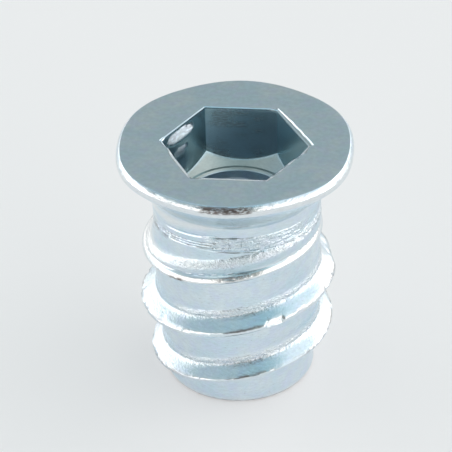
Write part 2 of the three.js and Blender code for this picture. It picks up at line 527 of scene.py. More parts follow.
@dataclass(frozen=True)
class WoodThread:
    """The coarse outside thread: one ridge, rolled up a right-hand helix.

    Millimetres and radians, but places along the thread are in turns from the lower end.
    """

    diameter: float = 12.7
    lead: float = 3.95
    turns: float = 2.8
    start_height: float = 1.05  # height of the ridge's middle at the lower end
    start_angle: float = math.radians(117)  # angle of the lower end round the axis
    base_width: float = 1.5
    flank_angle: float = math.radians(35)  # angle of a flank from the level
    run_in: float = 0.4  # turns in which the crest rises to its full height
    run_in_steepness: float = 0.6  # power of that rise; a lower one is steeper
    run_out: float = 1.05  # turns in which it falls to nothing
    root_fillet: float = 0.08
    crest_rounding: Ends = (0.036, 0.12)  # low and high on the thread
    rounding_turns: Ends = (0.8, 1.3)  # turns between which it grows
    skirt_height: float = 0.07  # height of the low skirt above the ridge
    skirt_width: float = 0.45
    skirt_level: float = 0.4  # share of that in which it has its full height
    smooth_share: float = 0.23  # of a turn past the start, where the skirt is least
    smooth_half: float = 1.1
    skirt_loss: float = 0.85  # share of the skirt that is missing there
    drop: Ends = (0.07, 0.18)  # how much lower the under side lies, low and high on the thread
    drop_turns: Ends = (0.6, 1.3)
    sway: float = 0.24  # how far the ridge sways up and down, twice in a turn
    sway_angle: float = math.radians(12)  # how far round the axis that sway is shifted
    waver: float = 0.021  # depth of the crest's slow waves
    ripple: float = 0.015  # depth of its fine ones
    wear: float = 0.018  # how far the crest is worn down
    grain: float = 0.012
    crest_begins: Ends = (0.74, 0.98)  # heights between which the ridge counts as crest
    ridge_begins: Ends = (0.02, 0.3)  # crest heights between which it counts as there
    end: DoubledCrest = DoubledCrest()
    nicks: tuple[Nick, ...] = (
        Nick(1.14, -0.05, 0.20, 0.30, 0.35),
        Nick(1.19, 0.05, 0.14, 0.22, 0.30),
        Nick(1.62, 0.05, 0.16, 0.25, 0.35),
        Nick(1.655, -0.05, 0.12, 0.20, 0.30),
        Nick(1.715, 0.10, 0.22, 1.20, 0.60),
        Nick(1.245, -0.10, 0.12, 0.25, 0.30),
        Nick(1.295, 0.15, 0.10, 0.30, 0.25),
    )
    cuts: tuple[Cut, ...] = (
        Cut(1.500, 0.17, 0.45, 0.76),
        Cut(1.550, 0.10, 0.40, 0.45),
    )

    def middle(self, turn: Array) -> Array:
        """Height of the ridge's middle: the helix, which sways up and down twice a turn."""
        sway = self.sway * np.sin(2 * FULL_TURN * turn + 2 * self.start_angle + self.sway_angle)
        return self.start_height + self.lead * turn - sway

    def place(self, angle: Array, height: Array) -> tuple[Array, Array]:
        """Finds the ridge nearest to a point of the shank.

        The turn is the point's share of a turn past the start, plus the whole number of turns
        that brings the ridge's middle nearest to its height.

        Args:
            angle: Angles round the axis.
            height: Heights over the pilot end.

        Returns:
            The turn along the thread, and the height over the ridge's middle.
        """
        share = (angle - self.start_angle) / FULL_TURN
        turn = share + np.round((height - self.middle(share)) / self.lead)
        return turn, height - self.middle(turn)

    def crest_height(self, turn: Array) -> Array:
        """Height of the crest over the core.

        The full height, times a power of the sine of the share run in, times the sine of the
        share left to run out.

        Args:
            turn: Turns from the lower end.

        Returns:
            The height, which is 0 before the start and past the end.
        """
        full = self.diameter / 2 - CORE_RADIUS
        rise = np.sin(math.pi / 2 * np.clip(turn / self.run_in, 0, 1)) ** self.run_in_steepness
        fall = np.sin(math.pi / 2 * np.clip((self.turns - turn) / self.run_out, 0, 1))
        return full * rise * fall

    def dropped(self, turn: Array) -> Array:
        """How much lower the ridge's under side lies than its section says, in millimetres."""
        drop = between(smooth_step(turn, *self.drop_turns), self.drop)
        return drop * (1 - self.end.share(turn))

    def single_form(self, turn: Array, offset: Array, crest: Array) -> Array:
        """Height of the plain ridge.

        A flank rises with the distance in from the base's edge over the flank's slope, up to
        the crest. Above the ridge lies a low skirt.

        Args:
            turn: Turns along the thread.
            offset: Heights over the ridge's middle.
            crest: Heights of the crest over the core.

        Returns:
            The height over the core.
        """
        half = self.base_width / 2
        skirt_end = half + self.skirt_width
        skirt_full = half + self.skirt_level * self.skirt_width
        beside = turned_apart(FULL_TURN * turn, FULL_TURN * self.smooth_share)
        skirt = 1 - self.skirt_loss * bell(beside, 0.0, self.smooth_half)
        skirt = np.minimum(self.skirt_height, crest) * skirt
        skirt = skirt * smooth_step(offset, skirt_end, skirt_full)
        skirt = skirt * smooth_step(offset, 0.0, half / 2)
        in_from_edge = np.minimum(half - offset, half + self.dropped(turn) + offset)
        flank = in_from_edge / math.tan(self.flank_angle)
        form = soft_max(flank, skirt, np.minimum(self.root_fillet, crest))
        rounding = between(smooth_step(turn, *self.rounding_turns), self.crest_rounding)
        return soft_min(form, crest, np.minimum(rounding, crest))

    def ridge(self, turn: Array, offset: Array) -> Array:
        """Height of the surface over the core, on and beside the ridge.

        The plain ridge, which towards the thread's end gives way to the doubled one.

        Args:
            turn: Turns from the lower end.
            offset: Heights over the ridge's middle.

        Returns:
            The height over the core.
        """
        crest = self.crest_height(turn)
        half, slope = self.base_width / 2, math.tan(self.flank_angle)
        flank, edge = (half + offset) / slope, slope * crest - half
        single = self.single_form(turn, offset, crest)
        doubled = self.end.form(turn, offset, crest, flank, edge)
        return single + self.end.share(turn) * (doubled - single)

    def present(self, crest: Array) -> Array:
        """Share of the ridge that is there, by its crest's height."""
        return smooth_step(crest, *self.ridge_begins)

    def worn(self, radius: Array, spot: Spot) -> Array:
        """The surface with a wavy crest and its dents and flats.

        Each dent is taken off, and each flat is a limit that the radius doesn't pass.

        Args:
            radius: Radius of the unworn surface.
            spot: Where the points lie.

        Returns:
            The radius in millimetres.
        """
        waves = self.waver * spot.waver + self.ripple * spot.fine - self.wear
        radius = radius + spot.on_crest * waves
        for nick in self.nicks:
            radius = radius - nick.carve(spot)
        for cut in self.cuts:
            flat = CORE_RADIUS + spot.crest + cut.flat(spot)
            radius = soft_min(radius, flat, cut.rounding)
        return radius

    def stations(self, turn: Array, row: Array) -> Array:
        """Height over the ridge's middle of each row of points in a lead.

        Rows stand where the crest, the flank, the root and the core between two ridges need
        them, and gather on the bead and the shelf where the crest is doubled.

        Args:
            turn: Turns from the lower end, rows by columns.
            row: Number of each row within its lead.

        Returns:
            The height of each row over the middle of its ridge.
        """
        least_crest, foot_inset = 0.45, 0.2
        half = self.base_width / 2
        crest = np.maximum(self.crest_height(turn), least_crest)
        land = half - math.tan(self.flank_angle) * crest
        foot = half - foot_inset
        core = np.linspace(foot + ROOT_ROWS[-1], self.lead / 2, CORE_ROWS + 1)[1:] - foot
        lands = np.array(LAND_ROWS + (1.0,) * (HALF_ROWS - len(LAND_ROWS)))
        outer = (1.0,) * (len(ROOT_ROWS) + CORE_ROWS)
        flanks = np.array((0.0,) * len(LAND_ROWS) + FLANK_ROWS + outer)
        inner = (0.0,) * (len(LAND_ROWS) + len(FLANK_ROWS))
        beyond = np.concatenate([inner, ROOT_ROWS, core])
        side = row - (HALF_ROWS - 1)
        pick = np.abs(side)
        single = lands[pick] * land + flanks[pick] * (foot - land) + beyond[pick]
        fade = np.clip((self.lead / 2 - single) / (self.lead / 2 - foot - ROOT_ROWS[-1]), 0, 1)
        single = np.sign(side) * single - self.dropped(turn) * (side < 0) * fade
        return single + self.end.share(turn) * (np.array(DOUBLE_ROWS)[row] - single)


# ---- The shank ---------------------------------------------------------------------------------


@dataclass(frozen=True)
class ThreadWear:
    """Tears, wear and dirt on the thread, with a painted highlight on the gathered shelf and painted
    shade in its pocket. Millimetres, turns, and radians from the front.
    """

    root_beside: float = 0.12  # from the ridge's base to the middle of the torn roots
    upper_half: float = 0.42  # half the width of the torn root above the ridge
    lower_half: float = 0.3
    lower_share: float = 0.3  # how torn the lower root is beside the upper one
    gathered_shift: float = 0.35  # how much lower the upper one lies by the gathered shelf
    smooth_side: Stretch = Stretch((-2.0, -1.7), (-0.55, -1.0))  # where both are less torn
    smooth_share: float = 0.75
    root_depth: float = 0.030
    end_gain: float = 0.7  # how much deeper the tears are by the doubled crest, as a share
    scuff_side: Ends = (0.17, 0.12)  # how far round the scuffed patch reaches
    scuff_ragged: float = 0.02  # how uneven its ends are
    scuff_across: Hump = (-0.2, 0.22)
    scuff_depth: float = 0.045
    scuff_dirt: float = 0.2
    scuff_rough: float = 0.5
    pocket_along: Hump = (2.45, 0.13)  # the shaded pocket in the doubled crest's shelf
    pocket_across: Hump = (0.33, 0.36)
    pocket_shade: float = 0.9
    line_across: Hump = (0.06, 0.08)  # dark lines beside the crest's middle
    line_side: Ends = (0.5, 0.9)
    line_dark: float = 0.8
    speck_along: Hump = (2.325, 0.06)  # dirty specks on the doubled crest's bead
    speck_across: Hump = (-0.35, 0.4)
    speck_grain: Ends = (-0.3, 0.6)
    speck_dirt: float = 1.6
    bead_across: Hump = (-0.25, 0.5)  # the bright bead
    shelf_rise: Ends = (0.05, 0.2)  # heights over the core between which the gathered shelf gets its painted highlight
    flank_rise: Ends = (0.1, 0.4)  # heights over the core between which the ridge is rough
    flank_side: Ends = (-0.7, -1.1)
    flank_rough: Ends = (0.08, 0.28)  # in front and at that side
    crest_bright: float = 0.5
    root_bright: float = 0.6

    def rolled(self, spot: Spot, thread: WoodThread) -> Array:
        """How torn the steel is, from 0 to 1: a bell across each root, less on the smooth side.

        Args:
            spot: Where the points lie.
            thread: The thread.

        Returns:
            The share at each point.
        """
        root = thread.base_width / 2 + self.root_beside
        near = self.gathered_shift * thread.end.gathered.at(spot.turn)
        upper = bell(spot.offset, root - near, self.upper_half)
        lower = bell(spot.offset, -root - thread.dropped(spot.turn), self.lower_half)
        both = thread.present(spot.crest) * (upper + self.lower_share * lower)
        return np.clip(both, 0, 1) * (1 - self.smooth_share * self.smooth_side.at(spot.front))

    def scuff(self, spot: Spot, thread: WoodThread) -> Array:
        """Share of the scuffed patch on the last turn: in front, times a bell across the crest."""
        aside = np.abs(spot.front + self.scuff_ragged * spot.fine)
        across = bell(spot.offset, *self.scuff_across)
        return smooth_step(aside, *self.scuff_side) * thread.end.share(spot.turn) * across

    def dirt(self, spot: Spot, thread: WoodThread) -> Array:
        """Share of darkening on the crests: dark lines along their edges, and dirty specks near the
        end.

        Args:
            spot: Where the points lie.
            thread: The thread.

        Returns:
            The share, from 0 to 1.
        """
        middle, half = self.line_across
        lines = bell(spot.offset, middle, half)
        lines = lines + bell(spot.offset, -middle - thread.dropped(spot.turn), half)
        lines = lines * spot.on_crest * smooth_step(np.abs(spot.front), *self.line_side)
        lines = self.line_dark * lines * (1 - thread.end.share(spot.turn))
        specks = bell(spot.turn, *self.speck_along) * smooth_step(spot.fine, *self.speck_grain)
        specks = self.speck_dirt * specks * bell(spot.offset, *self.speck_across)
        return np.maximum(lines, np.minimum(specks, 1.0))

    def skin(self, spot: Spot, thread: WoodThread, rolled: Array) -> dict[Zone, Array]:
        """The zones of the thread's skin.

        The crest, the roots and the bead are bright, and the gathered shelf has a painted highlight.
        The roots, the ridge, mostly at one side, and the scuffed patch are rough; the shelf's pocket
        gets painted shade.

        Args:
            spot: Where the points lie.
            thread: The thread.
            rolled: How torn the steel is.

        Returns:
            The share of each zone.
        """
        bead = thread.end.share(spot.turn) * bell(spot.offset, *self.bead_across)
        # painted highlight: the gathered shelf is drawn bright
        shelf = thread.end.gathered.at(spot.turn) * smooth_step(spot.ridge, *self.shelf_rise)
        ridge = np.maximum(self.crest_bright * spot.on_crest, self.root_bright * rolled)
        flank = between(smooth_step(spot.front, *self.flank_side), self.flank_rough)
        flank = flank * smooth_step(spot.ridge, *self.flank_rise)
        scuff = self.scuff(spot, thread)
        pocket = bell(spot.turn, *self.pocket_along) * bell(spot.offset, *self.pocket_across)
        return {
            Zone.ROLLED: rolled + np.maximum(flank, self.scuff_rough * scuff),
            Zone.BURNISH: np.maximum(ridge, np.maximum(bead, shelf)),
            Zone.SCUFF: np.maximum(self.scuff_dirt * scuff, self.dirt(spot, thread)),
            Zone.LINES: np.clip(1 - rolled - 2 * spot.ridge, 0, 1),
            # painted shade in the shelf's pocket
            Zone.DEEP: self.pocket_shade * pocket,
        }


@dataclass(frozen=True)
class Groove:
    """A groove round the neck, in millimetres."""

    height: float  # over the pilot end, or over the edge that it follows
    depth: float
    half_width: float
    around: Stretch  # in radians from the mark's middle

    def at(self, height: Array, aside: Array) -> Array:
        """Its depth: a bell across it, times its share at this angle from the mark's middle."""
        return self.depth * bell(height, self.height, self.half_width) * self.around.at(aside)


LINES_AROUND = Stretch((-2.0, -1.4), (-0.2, -0.42))  # of the rollers' fine lines


@dataclass(frozen=True)
class RollerMark:
    """The band that the rollers' upper edge leaves round the neck.

    A rough belt between two heights, with a groove along each edge. Beside it three fine
    grooves and a wide one over them climb with the helix. Millimetres, and radians from the
    mark's middle.
    """

    middle: float = math.radians(-80)
    radius: float = 5.4  # of the neck, where its random fields are taken
    lower_edge: float = 12.28
    lower_sway: float = 0.06
    lower_sways: int = 3  # in a turn
    upper_edge: float = 13.42
    upper_sway: float = 0.04
    upper_sways: int = 5
    upper_phase: float = 1.0
    lower_groove: Groove = Groove(0.0, 0.08, 0.12, Stretch((-1.4, -1.0), (1.1, 0.7)))
    lower_left: Ends = (-0.6, -0.3)  # where it grows from shallow to full
    lower_shares: Ends = (0.15, 1.0)
    upper_groove: Groove = Groove(0.05, 0.045, 0.1, Stretch((-0.6, -0.4), (0.15, -0.05)))
    even: float = 0.8  # share of these two grooves' depth that is even
    uneven: float = 0.3  # share that follows the fine random field
    wide_groove: Groove = Groove(13.60, 0.07, 0.15, Stretch((-1.3, -0.95), (-0.32, -0.42)))
    lines: tuple[Groove, ...] = (
        Groove(12.72, 0.055, 0.065, LINES_AROUND),
        Groove(12.91, 0.050, 0.065, LINES_AROUND),
        Groove(13.10, 0.050, 0.065, LINES_AROUND),
    )
    dirt_side: Ends = (-0.3, -0.6)  # where the edges' grooves hold dirt
    dirt_depth: Ends = (0.012, 0.03)
    dirt_grain: Ends = (-0.8, 0.1)
    dirt: float = 0.7
    belt_rise: float = 0.1
    belt_fall: float = 0.12
    belt_start: Ends = (12.2, 12.95)  # heights over the helix at which the left part fades in
    belt_least: float = 0.15
    belt_left: Ends = (-0.6, -0.25)
    belt_right: Ends = (0.55, 0.95)  # past it the belt is fainter
    belt_shares: Ends = (1.0, 0.4)
    belt_depth: float = 0.055
    belt_rough: float = 0.8
    tears: Tears = Tears(Grain(15, (0.3, 0.3, 0.08)), Grain(16, (0.13, 0.13, 0.07)))

    def belt(self, height: Array, aside: Array, over_helix: Array, edges: Ends) -> Array:
        """Share of the rough belt: between its edges, and faded to the left and the right.

        Args:
            height: Heights over the pilot end.
            aside: Angles from the mark's middle.
            over_helix: Heights over the helix through the mark's middle.
            edges: Heights of the lower and the upper edge.

        Returns:
            The share, from 0 to 1.
        """
        lower, upper = edges
        belt = smooth_step(height, lower, lower + self.belt_rise)
        belt = belt * smooth_step(height, upper, upper - self.belt_fall)
        started = np.maximum(smooth_step(over_helix, *self.belt_start), self.belt_least)
        belt = belt * np.where(aside < 0, started, 1.0)
        faint = between(smooth_step(aside, *self.belt_right), self.belt_shares)
        return belt * smooth_step(aside, *self.belt_left) * faint

    def at(self, spot: Spot, lead: float) -> tuple[Array, Array, Array]:
        """The mark's relief, less the grooves and plus the belt's tears, and its skin.

        Args:
            spot: Where the points lie.
            lead: Rise of the thread in one turn.

        Returns:
            What is added to the radius, the share of rough skin, and the share of dirt.
        """
        angle, height = spot.angle, spot.height
        aside = turned_apart(angle, self.middle)
        over_helix = height - lead * aside / FULL_TURN
        lower = self.lower_edge + self.lower_sway * np.sin(self.lower_sways * angle)
        upper_sway = np.sin(self.upper_sways * angle + self.upper_phase)
        upper = self.upper_edge + self.upper_sway * upper_sway
        torn = self.tears.at(self.radius * np.cos(angle), self.radius * np.sin(angle), height)
        belt = self.belt(height, aside, over_helix, (lower, upper))

        ragged = self.even + self.uneven * spot.fine
        left = between(smooth_step(aside, *self.lower_left), self.lower_shares)
        grooves = ragged * left * self.lower_groove.at(height - lower, aside)
        grooves = grooves + ragged * self.upper_groove.at(height - upper, aside)
        lines = sum(line.at(over_helix, aside) for line in self.lines)
        deep = lines + grooves * smooth_step(aside, *self.dirt_side)
        dirt = smooth_step(deep, *self.dirt_depth) * smooth_step(spot.fine, *self.dirt_grain)
        grooves = grooves + self.wide_groove.at(over_helix, aside) + lines
        relief = self.belt_depth * belt * torn - grooves
        return relief, self.belt_rough * belt, self.dirt * dirt


@dataclass(frozen=True)
class Shank:
    """The body under the flange: pilot, cone, core, neck, and the thread round it. Millimetres."""

    thread: WoodThread = WoodThread()
    wear: ThreadWear = ThreadWear()
    mark: RollerMark = RollerMark()
    pilot_diameter: float = 9.8
    pilot_length: float = 1.5
    pilot_taper: float = 4.0
    pilot_rounding: float = 0.3
    pilot_bright: Hump = (0.24, 0.12)  # heights where the rounding is rubbed
    pilot_bright_share: float = 0.6
    pilot_contact_shade: Ends = (0.22, 0.08)  # heights under which painted contact shade darkens the rounded edge
    neck_diameter: float = 10.75
    neck_start: float = 13.31
    neck_step: float = 1.1
    cone_foot: float = 14.11
    hollow_blend: float = 0.11
    flare_blend: float = 0.6
    flare_angle: float = math.radians(-172)
    flare_side: Ends = (0.95, 0.25)  # how far from there the wide blend reaches
    hollow_shade: Ends = (14.0, 14.4)  # heights between which painted shade darkens the hollow under the flange
    bore_mouth_radius: float = 3.725
    helix_end: float = 12.05
    mark_end: float = 13.7
    mark_rows: int = 43
    hollow_rows: int = 13
    waver: Grain = Grain(11, (0.9, 0.9, 3.0))
    fine: Grain = Grain(12, (0.28, 0.28, 0.3))
    tears: Tears = Tears(Grain(13, (0.22, 0.22, 0.11)), Grain(14, (0.12, 0.12, 0.07)))

    def core(self, angle: Array, height: Array) -> Array:
        """Radius without the thread.

        Straight lines between the pilot, the core and the neck, blended into the flange's cone.
        The blend is wider on one side, where the steel flowed up while it was rolled.

        Args:
            angle: Angles round the axis.
            height: Heights over the pilot end.

        Returns:
            The radius in millimetres.
        """
        stops = [
            self.pilot_length,
            self.pilot_length + self.pilot_taper,
            self.neck_start - self.neck_step,
            self.neck_start,
        ]
        pilot, neck = self.pilot_diameter / 2, self.neck_diameter / 2
        straight = np.interp(height, stops, [pilot, CORE_RADIUS, CORE_RADIUS, neck])
        cone = neck + (height - self.cone_foot) * math.tan(CONE_ANGLE)
        aside = np.abs(turned_apart(angle, self.flare_angle))
        flare = smooth_step(aside, *self.flare_side)
        return soft_max(straight, cone, between(flare, (self.hollow_blend, self.flare_blend)))

    def spot(self, angle: Array, height: Array) -> Spot:
        """Where points of the outside lie, seen from the thread.

        Args:
            angle: Angles round the axis.
            height: Heights over the pilot end.

        Returns:
            The points' places.
        """
        thread = self.thread
        angle, height = np.broadcast_arrays(angle, height)
        turn, offset = thread.place(angle, height)
        crest = thread.crest_height(turn)
        ridge = thread.ridge(turn, offset)
        x, y = CORE_RADIUS * np.cos(angle), CORE_RADIUS * np.sin(angle)
        return Spot(
            angle=angle,
            height=height,
            front=turned_apart(angle, FRONT),
            turn=turn,
            offset=offset,
            crest=crest,
            ridge=ridge,
            on_crest=smooth_step(ridge, *thread.crest_begins) * thread.present(crest),
            waver=self.waver.at(x, y, turn),
            fine=self.fine.at(x, y, height),
            torn=self.tears.at(x, y, height),
        )

    def surface(self, angle: Array, height: Array) -> tuple[Array, dict[Zone, Array]]:
        """Radius and zones of the shank's outside.

        The core's radius plus the ridge, worn and dented, plus the depth of each torn place
        times the ragged field, plus the relief of the rollers' mark.

        Args:
            angle: Angles round the axis.
            height: Heights over the pilot end.

        Returns:
            The radius in millimetres, and the share of each zone.
        """
        thread, wear = self.thread, self.wear
        spot = self.spot(angle, height)
        radius = thread.worn(self.core(spot.angle, spot.height) + spot.ridge, spot)
        rolled = wear.rolled(spot, thread)
        depth = rolled * wear.root_depth * (1 + wear.end_gain * thread.end.share(spot.turn))
        depth = depth + spot.on_crest * thread.grain
        depth = depth + wear.scuff_depth * wear.scuff(spot, thread)
        mark, mark_rough, mark_dirt = self.mark.at(spot, thread.lead)

        zones = wear.skin(spot, thread, rolled)
        zones[Zone.ROLLED] = np.clip(zones[Zone.ROLLED] + mark_rough, 0, 1)
        zones[Zone.SCUFF] = np.maximum(zones[Zone.SCUFF], mark_dirt)
        zones[Zone.LINES] = zones[Zone.LINES] * (1 - mark_rough)
        # painted shade in the hollow under the flange
        zones[Zone.DEEP] = zones[Zone.DEEP] + smooth_step(spot.height, *self.hollow_shade)
        return radius + depth * spot.torn + mark, zones

    def end_rows(self, angles: Array) -> Band:
        """The flat pilot end and the rounded edge round it.

        The flat runs out in equal steps; the edge is a quarter circle. The ridge's foot fades
        in up the rounded edge.

        Args:
            angles: Angles of the columns.

        Returns:
            Rows from the bore's chamfer to the top of the rounded edge.
        """
        flat_rows, edge_rows = 4, 7
        pilot, rounding = self.pilot_diameter / 2, self.pilot_rounding
        flat = np.linspace(self.bore_mouth_radius, pilot - rounding, flat_rows)
        swing = np.linspace(0, math.pi / 2, edge_rows)[1:]
        radius = np.concatenate([flat, pilot - rounding + rounding * np.sin(swing)])[:, None]
        height = np.concatenate([np.zeros(flat.size), rounding * (1 - np.cos(swing))])
        angle, height = np.meshgrid(angles, height)
        surface, zones = self.surface(angle, np.full_like(height, rounding))
        foot = (surface - pilot) * smooth_step(height, 0.0, rounding)
        outer = smooth_step(radius, pilot - rounding, pilot - 0.5 * rounding)
        zones[Zone.BURNISH] = bell(height, *self.pilot_bright) * self.pilot_bright_share
        # painted contact shade: the rounded edge darkens towards the floor
        zones[Zone.SCUFF] = smooth_step(height, *self.pilot_contact_shade) * outer
        return Band(angle, radius + foot, height, zones)

    def helix_rows(self, angles: Array) -> Band:
        """The threaded part, in rows that climb with the ridge.

        Args:
            angles: Angles of the columns.

        Returns:
            Rows from below the rounded edge to past the end of the climbing part.
        """
        thread = self.thread
        leads = math.ceil(self.helix_end / thread.lead) + 2
        row = np.arange(leads * LEAD_ROWS)[:, None]
        first = -1 - math.ceil(thread.start_height / thread.lead)
        share = (angles[None, :] - thread.start_angle) / FULL_TURN
        turn = share + first + row // LEAD_ROWS
        offset = thread.stations(turn, row % LEAD_ROWS)
        height = thread.start_height + thread.lead * turn + offset
        angle = np.broadcast_to(angles[None, :], height.shape)
        radius, zones = self.surface(angle, height)
        return Band(angle, radius, height, zones)

    def neck_rows(self, angles: Array) -> Band:
        """The rollers' mark, the plain neck and the hollow under the flange, in level rows.

        Args:
            angles: Angles of the columns.

        Returns:
            Rows from the end of the climbing part to the foot of the flange's cone.
        """
        mark = np.linspace(self.helix_end, self.mark_end, self.mark_rows)
        hollow = np.linspace(self.mark_end, CONE_HEIGHT, self.hollow_rows)[1:]
        angle, height = np.meshgrid(angles, np.concatenate([mark, hollow]))
        radius, zones = self.surface(angle, height)
        return Band(angle, radius, height, zones)


# ---- The flange --------------------------------------------------------------------------------


@dataclass(frozen=True)
class Flange:
    """The cone above the neck, its blunt rim with six faint lobes, and the top face.

    Millimetres, and radians from the front. Heights with a minus are under the top face.
    """

    diameter: float = 15.08
    cone_radius: float = 5.972  # where its rows begin
    lobe_height: float = 0.075
    front_flat: float = 0.2  # how far the rim is pressed in at the front
    front_half: float = 0.9  # half the width of that flat
    rim_normals: tuple[tuple[float, float], ...] = (
        (0.0, 90), (0.04, 48), (0.40, 24), (0.46, 6), (0.74, -6), (0.82, -43)
    )  # elevation of the rim's normal, by the way along it from the top face
    rim_steps: int = 96
    rim_rows: tuple[int, ...] = (
        0, 2, 4, 8, 14, 21, 28, 35, 42, 47, 50, 53, 58, 66, 75, 84, 88, 91, 94, 96
    )  # the steps that have a row of points
    cone_rows: int = 7
    face_rows: int = 7
    torn: Grain = Grain(21, (0.5, 0.5, 0.12))
    fine: Grain = Grain(22, (0.16, 0.16, 0.1))
    fine_share: float = 0.6
    tear_heights: Hump = (-0.18, 0.4)
    tear_radii: Ends = (6.8, 7.1)
    tear_depth: float = 0.014
    tear_more: float = 0.5  # a higher value tears more of the rim
    tear_rough: float = 0.3
    tear_grain: Ends = (0.0, 0.5)
    patch_middle: float = -0.09  # of the dull patch
    patch_ragged: float = 0.03
    patch_side: Ends = (0.235, 0.17)
    patch_heights: Stretch = Stretch((-0.48, -0.36), (-0.02, -0.11))
    patch_depth: float = 0.03
    patch_more: float = 0.4
    bright_heights: Hump = (-0.45, 0.45)
    bright_radii: Ends = (6.6, 7.1)
    face_edge: Ends = (-0.01, 0.0)
    shade_start: float = 0.1  # over the rim's foot, where the painted shade on the under side begins
    # share of grey in that painted shade
    shade_grey: float = 0.7

    def rim(self) -> tuple[Array, Array]:
        """The rim's section, found by walking along it in the direction square to its normal.

        Returns:
            Radii and heights, from the cone to the top face.
        """
        way = np.linspace(0.0, self.rim_normals[-1][0], self.rim_steps + 1)
        normal = np.radians(np.interp(way, *np.array(self.rim_normals).T))
        between_steps, step = 0.5 * (normal[1:] + normal[:-1]), way[1]
        radius = np.concatenate([[0.0], np.cumsum(step * np.sin(between_steps))])
        height = np.concatenate([[0.0], -np.cumsum(step * np.cos(between_steps))])
        radius += self.diameter / 2 - radius.max()
        upwards = np.array(self.rim_rows)[::-1]
        return radius[upwards], TOP + height[upwards]

    def form(self) -> tuple[Array, Array, Array, Array]:
        """The section of the flange, before its lobes.

        Returns:
            Radii and heights from the cone to the socket's mouth, the share of the lobes at
            each, and which of them are on the top face; each is one column.
        """
        rim_r, rim_h = self.rim()
        cone = np.linspace(0, 1, self.cone_rows + 2)[1:-1]
        cone_r = self.cone_radius + cone * (rim_r[0] - self.cone_radius)
        cone_h = CONE_HEIGHT + cone * (rim_h[0] - CONE_HEIGHT)
        face_r = np.linspace(rim_r[-1], MOUTH_RADIUS, self.face_rows + 1)[1:]
        radius = np.concatenate([cone_r, rim_r, face_r])[:, None]
        height = np.concatenate([cone_h, rim_h, np.full(face_r.size, TOP)])[:, None]
        on_face = np.arange(radius.size)[:, None] >= cone_r.size + rim_r.size
        inner = smooth_step(radius, MOUTH_RADIUS, rim_r[-1])
        share = np.where(on_face, inner, smooth_step(radius, self.cone_radius, rim_r[0]))
        return radius, height, share, on_face

    def rows(self, angles: Array) -> Band:
        """Cone, rim and top face down to the socket's mouth.

        Every radius swells by the lobe's share of the flange's radius times the cosine of six
        times the angle, fading in up the cone. The rim is torn a little, inwards only.

        Args:
            angles: Angles of the columns.

        Returns:
            The rows, from above the neck's hollow to just outside the socket.
        """
        radius, height, share, on_face = self.form()
        rim_foot = height[self.cone_rows, 0]
        angle = np.broadcast_to(angles[None, :], (radius.size, angles.size))
        swell = 1 - share * (self.lobe_height * 2 / self.diameter) * np.cos(HEX_SIDES * angle)
        front = turned_apart(angle, FRONT)
        radius = radius * swell - share * self.front_flat * bell(front, 0.0, self.front_half)
        height = np.broadcast_to(height, radius.shape)
        under_top = height - TOP

        x, y = radius * np.cos(angle), radius * np.sin(angle)
        torn, fine = self.torn.at(x, y, height), self.fine.at(x, y, height)
        edge = bell(under_top, *self.tear_heights) * smooth_step(radius, *self.tear_radii)
        tears = np.maximum(torn + self.fine_share * fine + self.tear_more, 0)
        radius = radius - edge * self.tear_depth * tears
        aside = np.abs(front - self.patch_middle + self.patch_ragged * torn)
        patch = smooth_step(aside, *self.patch_side) * (~on_face)
        patch = patch * self.patch_heights.at(under_top)
        radius = radius - patch * self.patch_depth * np.maximum(fine + self.patch_more, 0)
        bright = bell(under_top, *self.bright_heights) * smooth_step(radius, *self.bright_radii)
        # painted shade: the cone darkens and greys towards the neck
        shade = smooth_step(height, rim_foot + self.shade_start, CONE_HEIGHT)
        zones = {
            Zone.SATIN: smooth_step(under_top, *self.face_edge),
            Zone.SCUFF: patch,
            Zone.ROLLED: self.tear_rough * edge * smooth_step(torn, *self.tear_grain),
            Zone.BURNISH: bright,
            Zone.DEEP: shade,
            Zone.STAIN: self.shade_grey * shade,
        }
        return Band(angle, radius, height, zones)


# ---- The socket --------------------------------------------------------------------------------


@dataclass(frozen=True)
class Scar:
    """A smooth hollow that the punch has dragged into a wall of the socket."""

    angle: float  # its middle round the axis, in radians
    depth_down: float  # depth of its middle under the top face, in millimetres
    half_angle: float  # half its length round the axis, in radians
    half_height: float  # half its height
    hollow: float  # how deep it goes into the wall at its upper end
    slant: float  # how much lower its end is, on the side of the greater angles
    step: Ends = (-0.4, 0.1)  # the short step at its upper end, in half heights from there
    soft_end: float = 0.3  # share of its height at which its two ends have faded in

    def carve(self, angle: Array, depth: Array) -> Array:
        """How far the wall gives way.

        The hollow deepens evenly from its lower end to its upper one, where it ends in a short
        step, and fades out to both sides.

        Args:
            angle: Angles round the axis.
            depth: Depths under the top face.

        Returns:
            The depth of the hollow into the wall.
        """
        beside = turned_apart(angle, self.angle) / self.half_angle
        round_end = np.sqrt(np.maximum(1 - beside * beside, 0.0))
        down = (depth - self.depth_down - self.slant * beside) / self.half_height
        ramp = np.clip((round_end - down) / 2, 0, 1) * smooth_step(down + round_end, *self.step)
        return self.hollow * ramp * smooth_step(round_end, 0.0, self.soft_end)


@dataclass(frozen=True)
class MouthRow:
    """A row of points round the socket's mouth, placed by shares of the mouth's own sizes."""

    lip: float  # of the lip's width, outside the hexagon
    ledge: float = 0.0  # of the ledge's width, outside that
    gap: float = 0.0  # outside that, in millimetres
    depth: float = 1.0  # of the ledge's depth, under the top face
    drop: float = 0.0  # of the lip's drop, under that
    bend: float = 0.0  # of the lip's width, under that


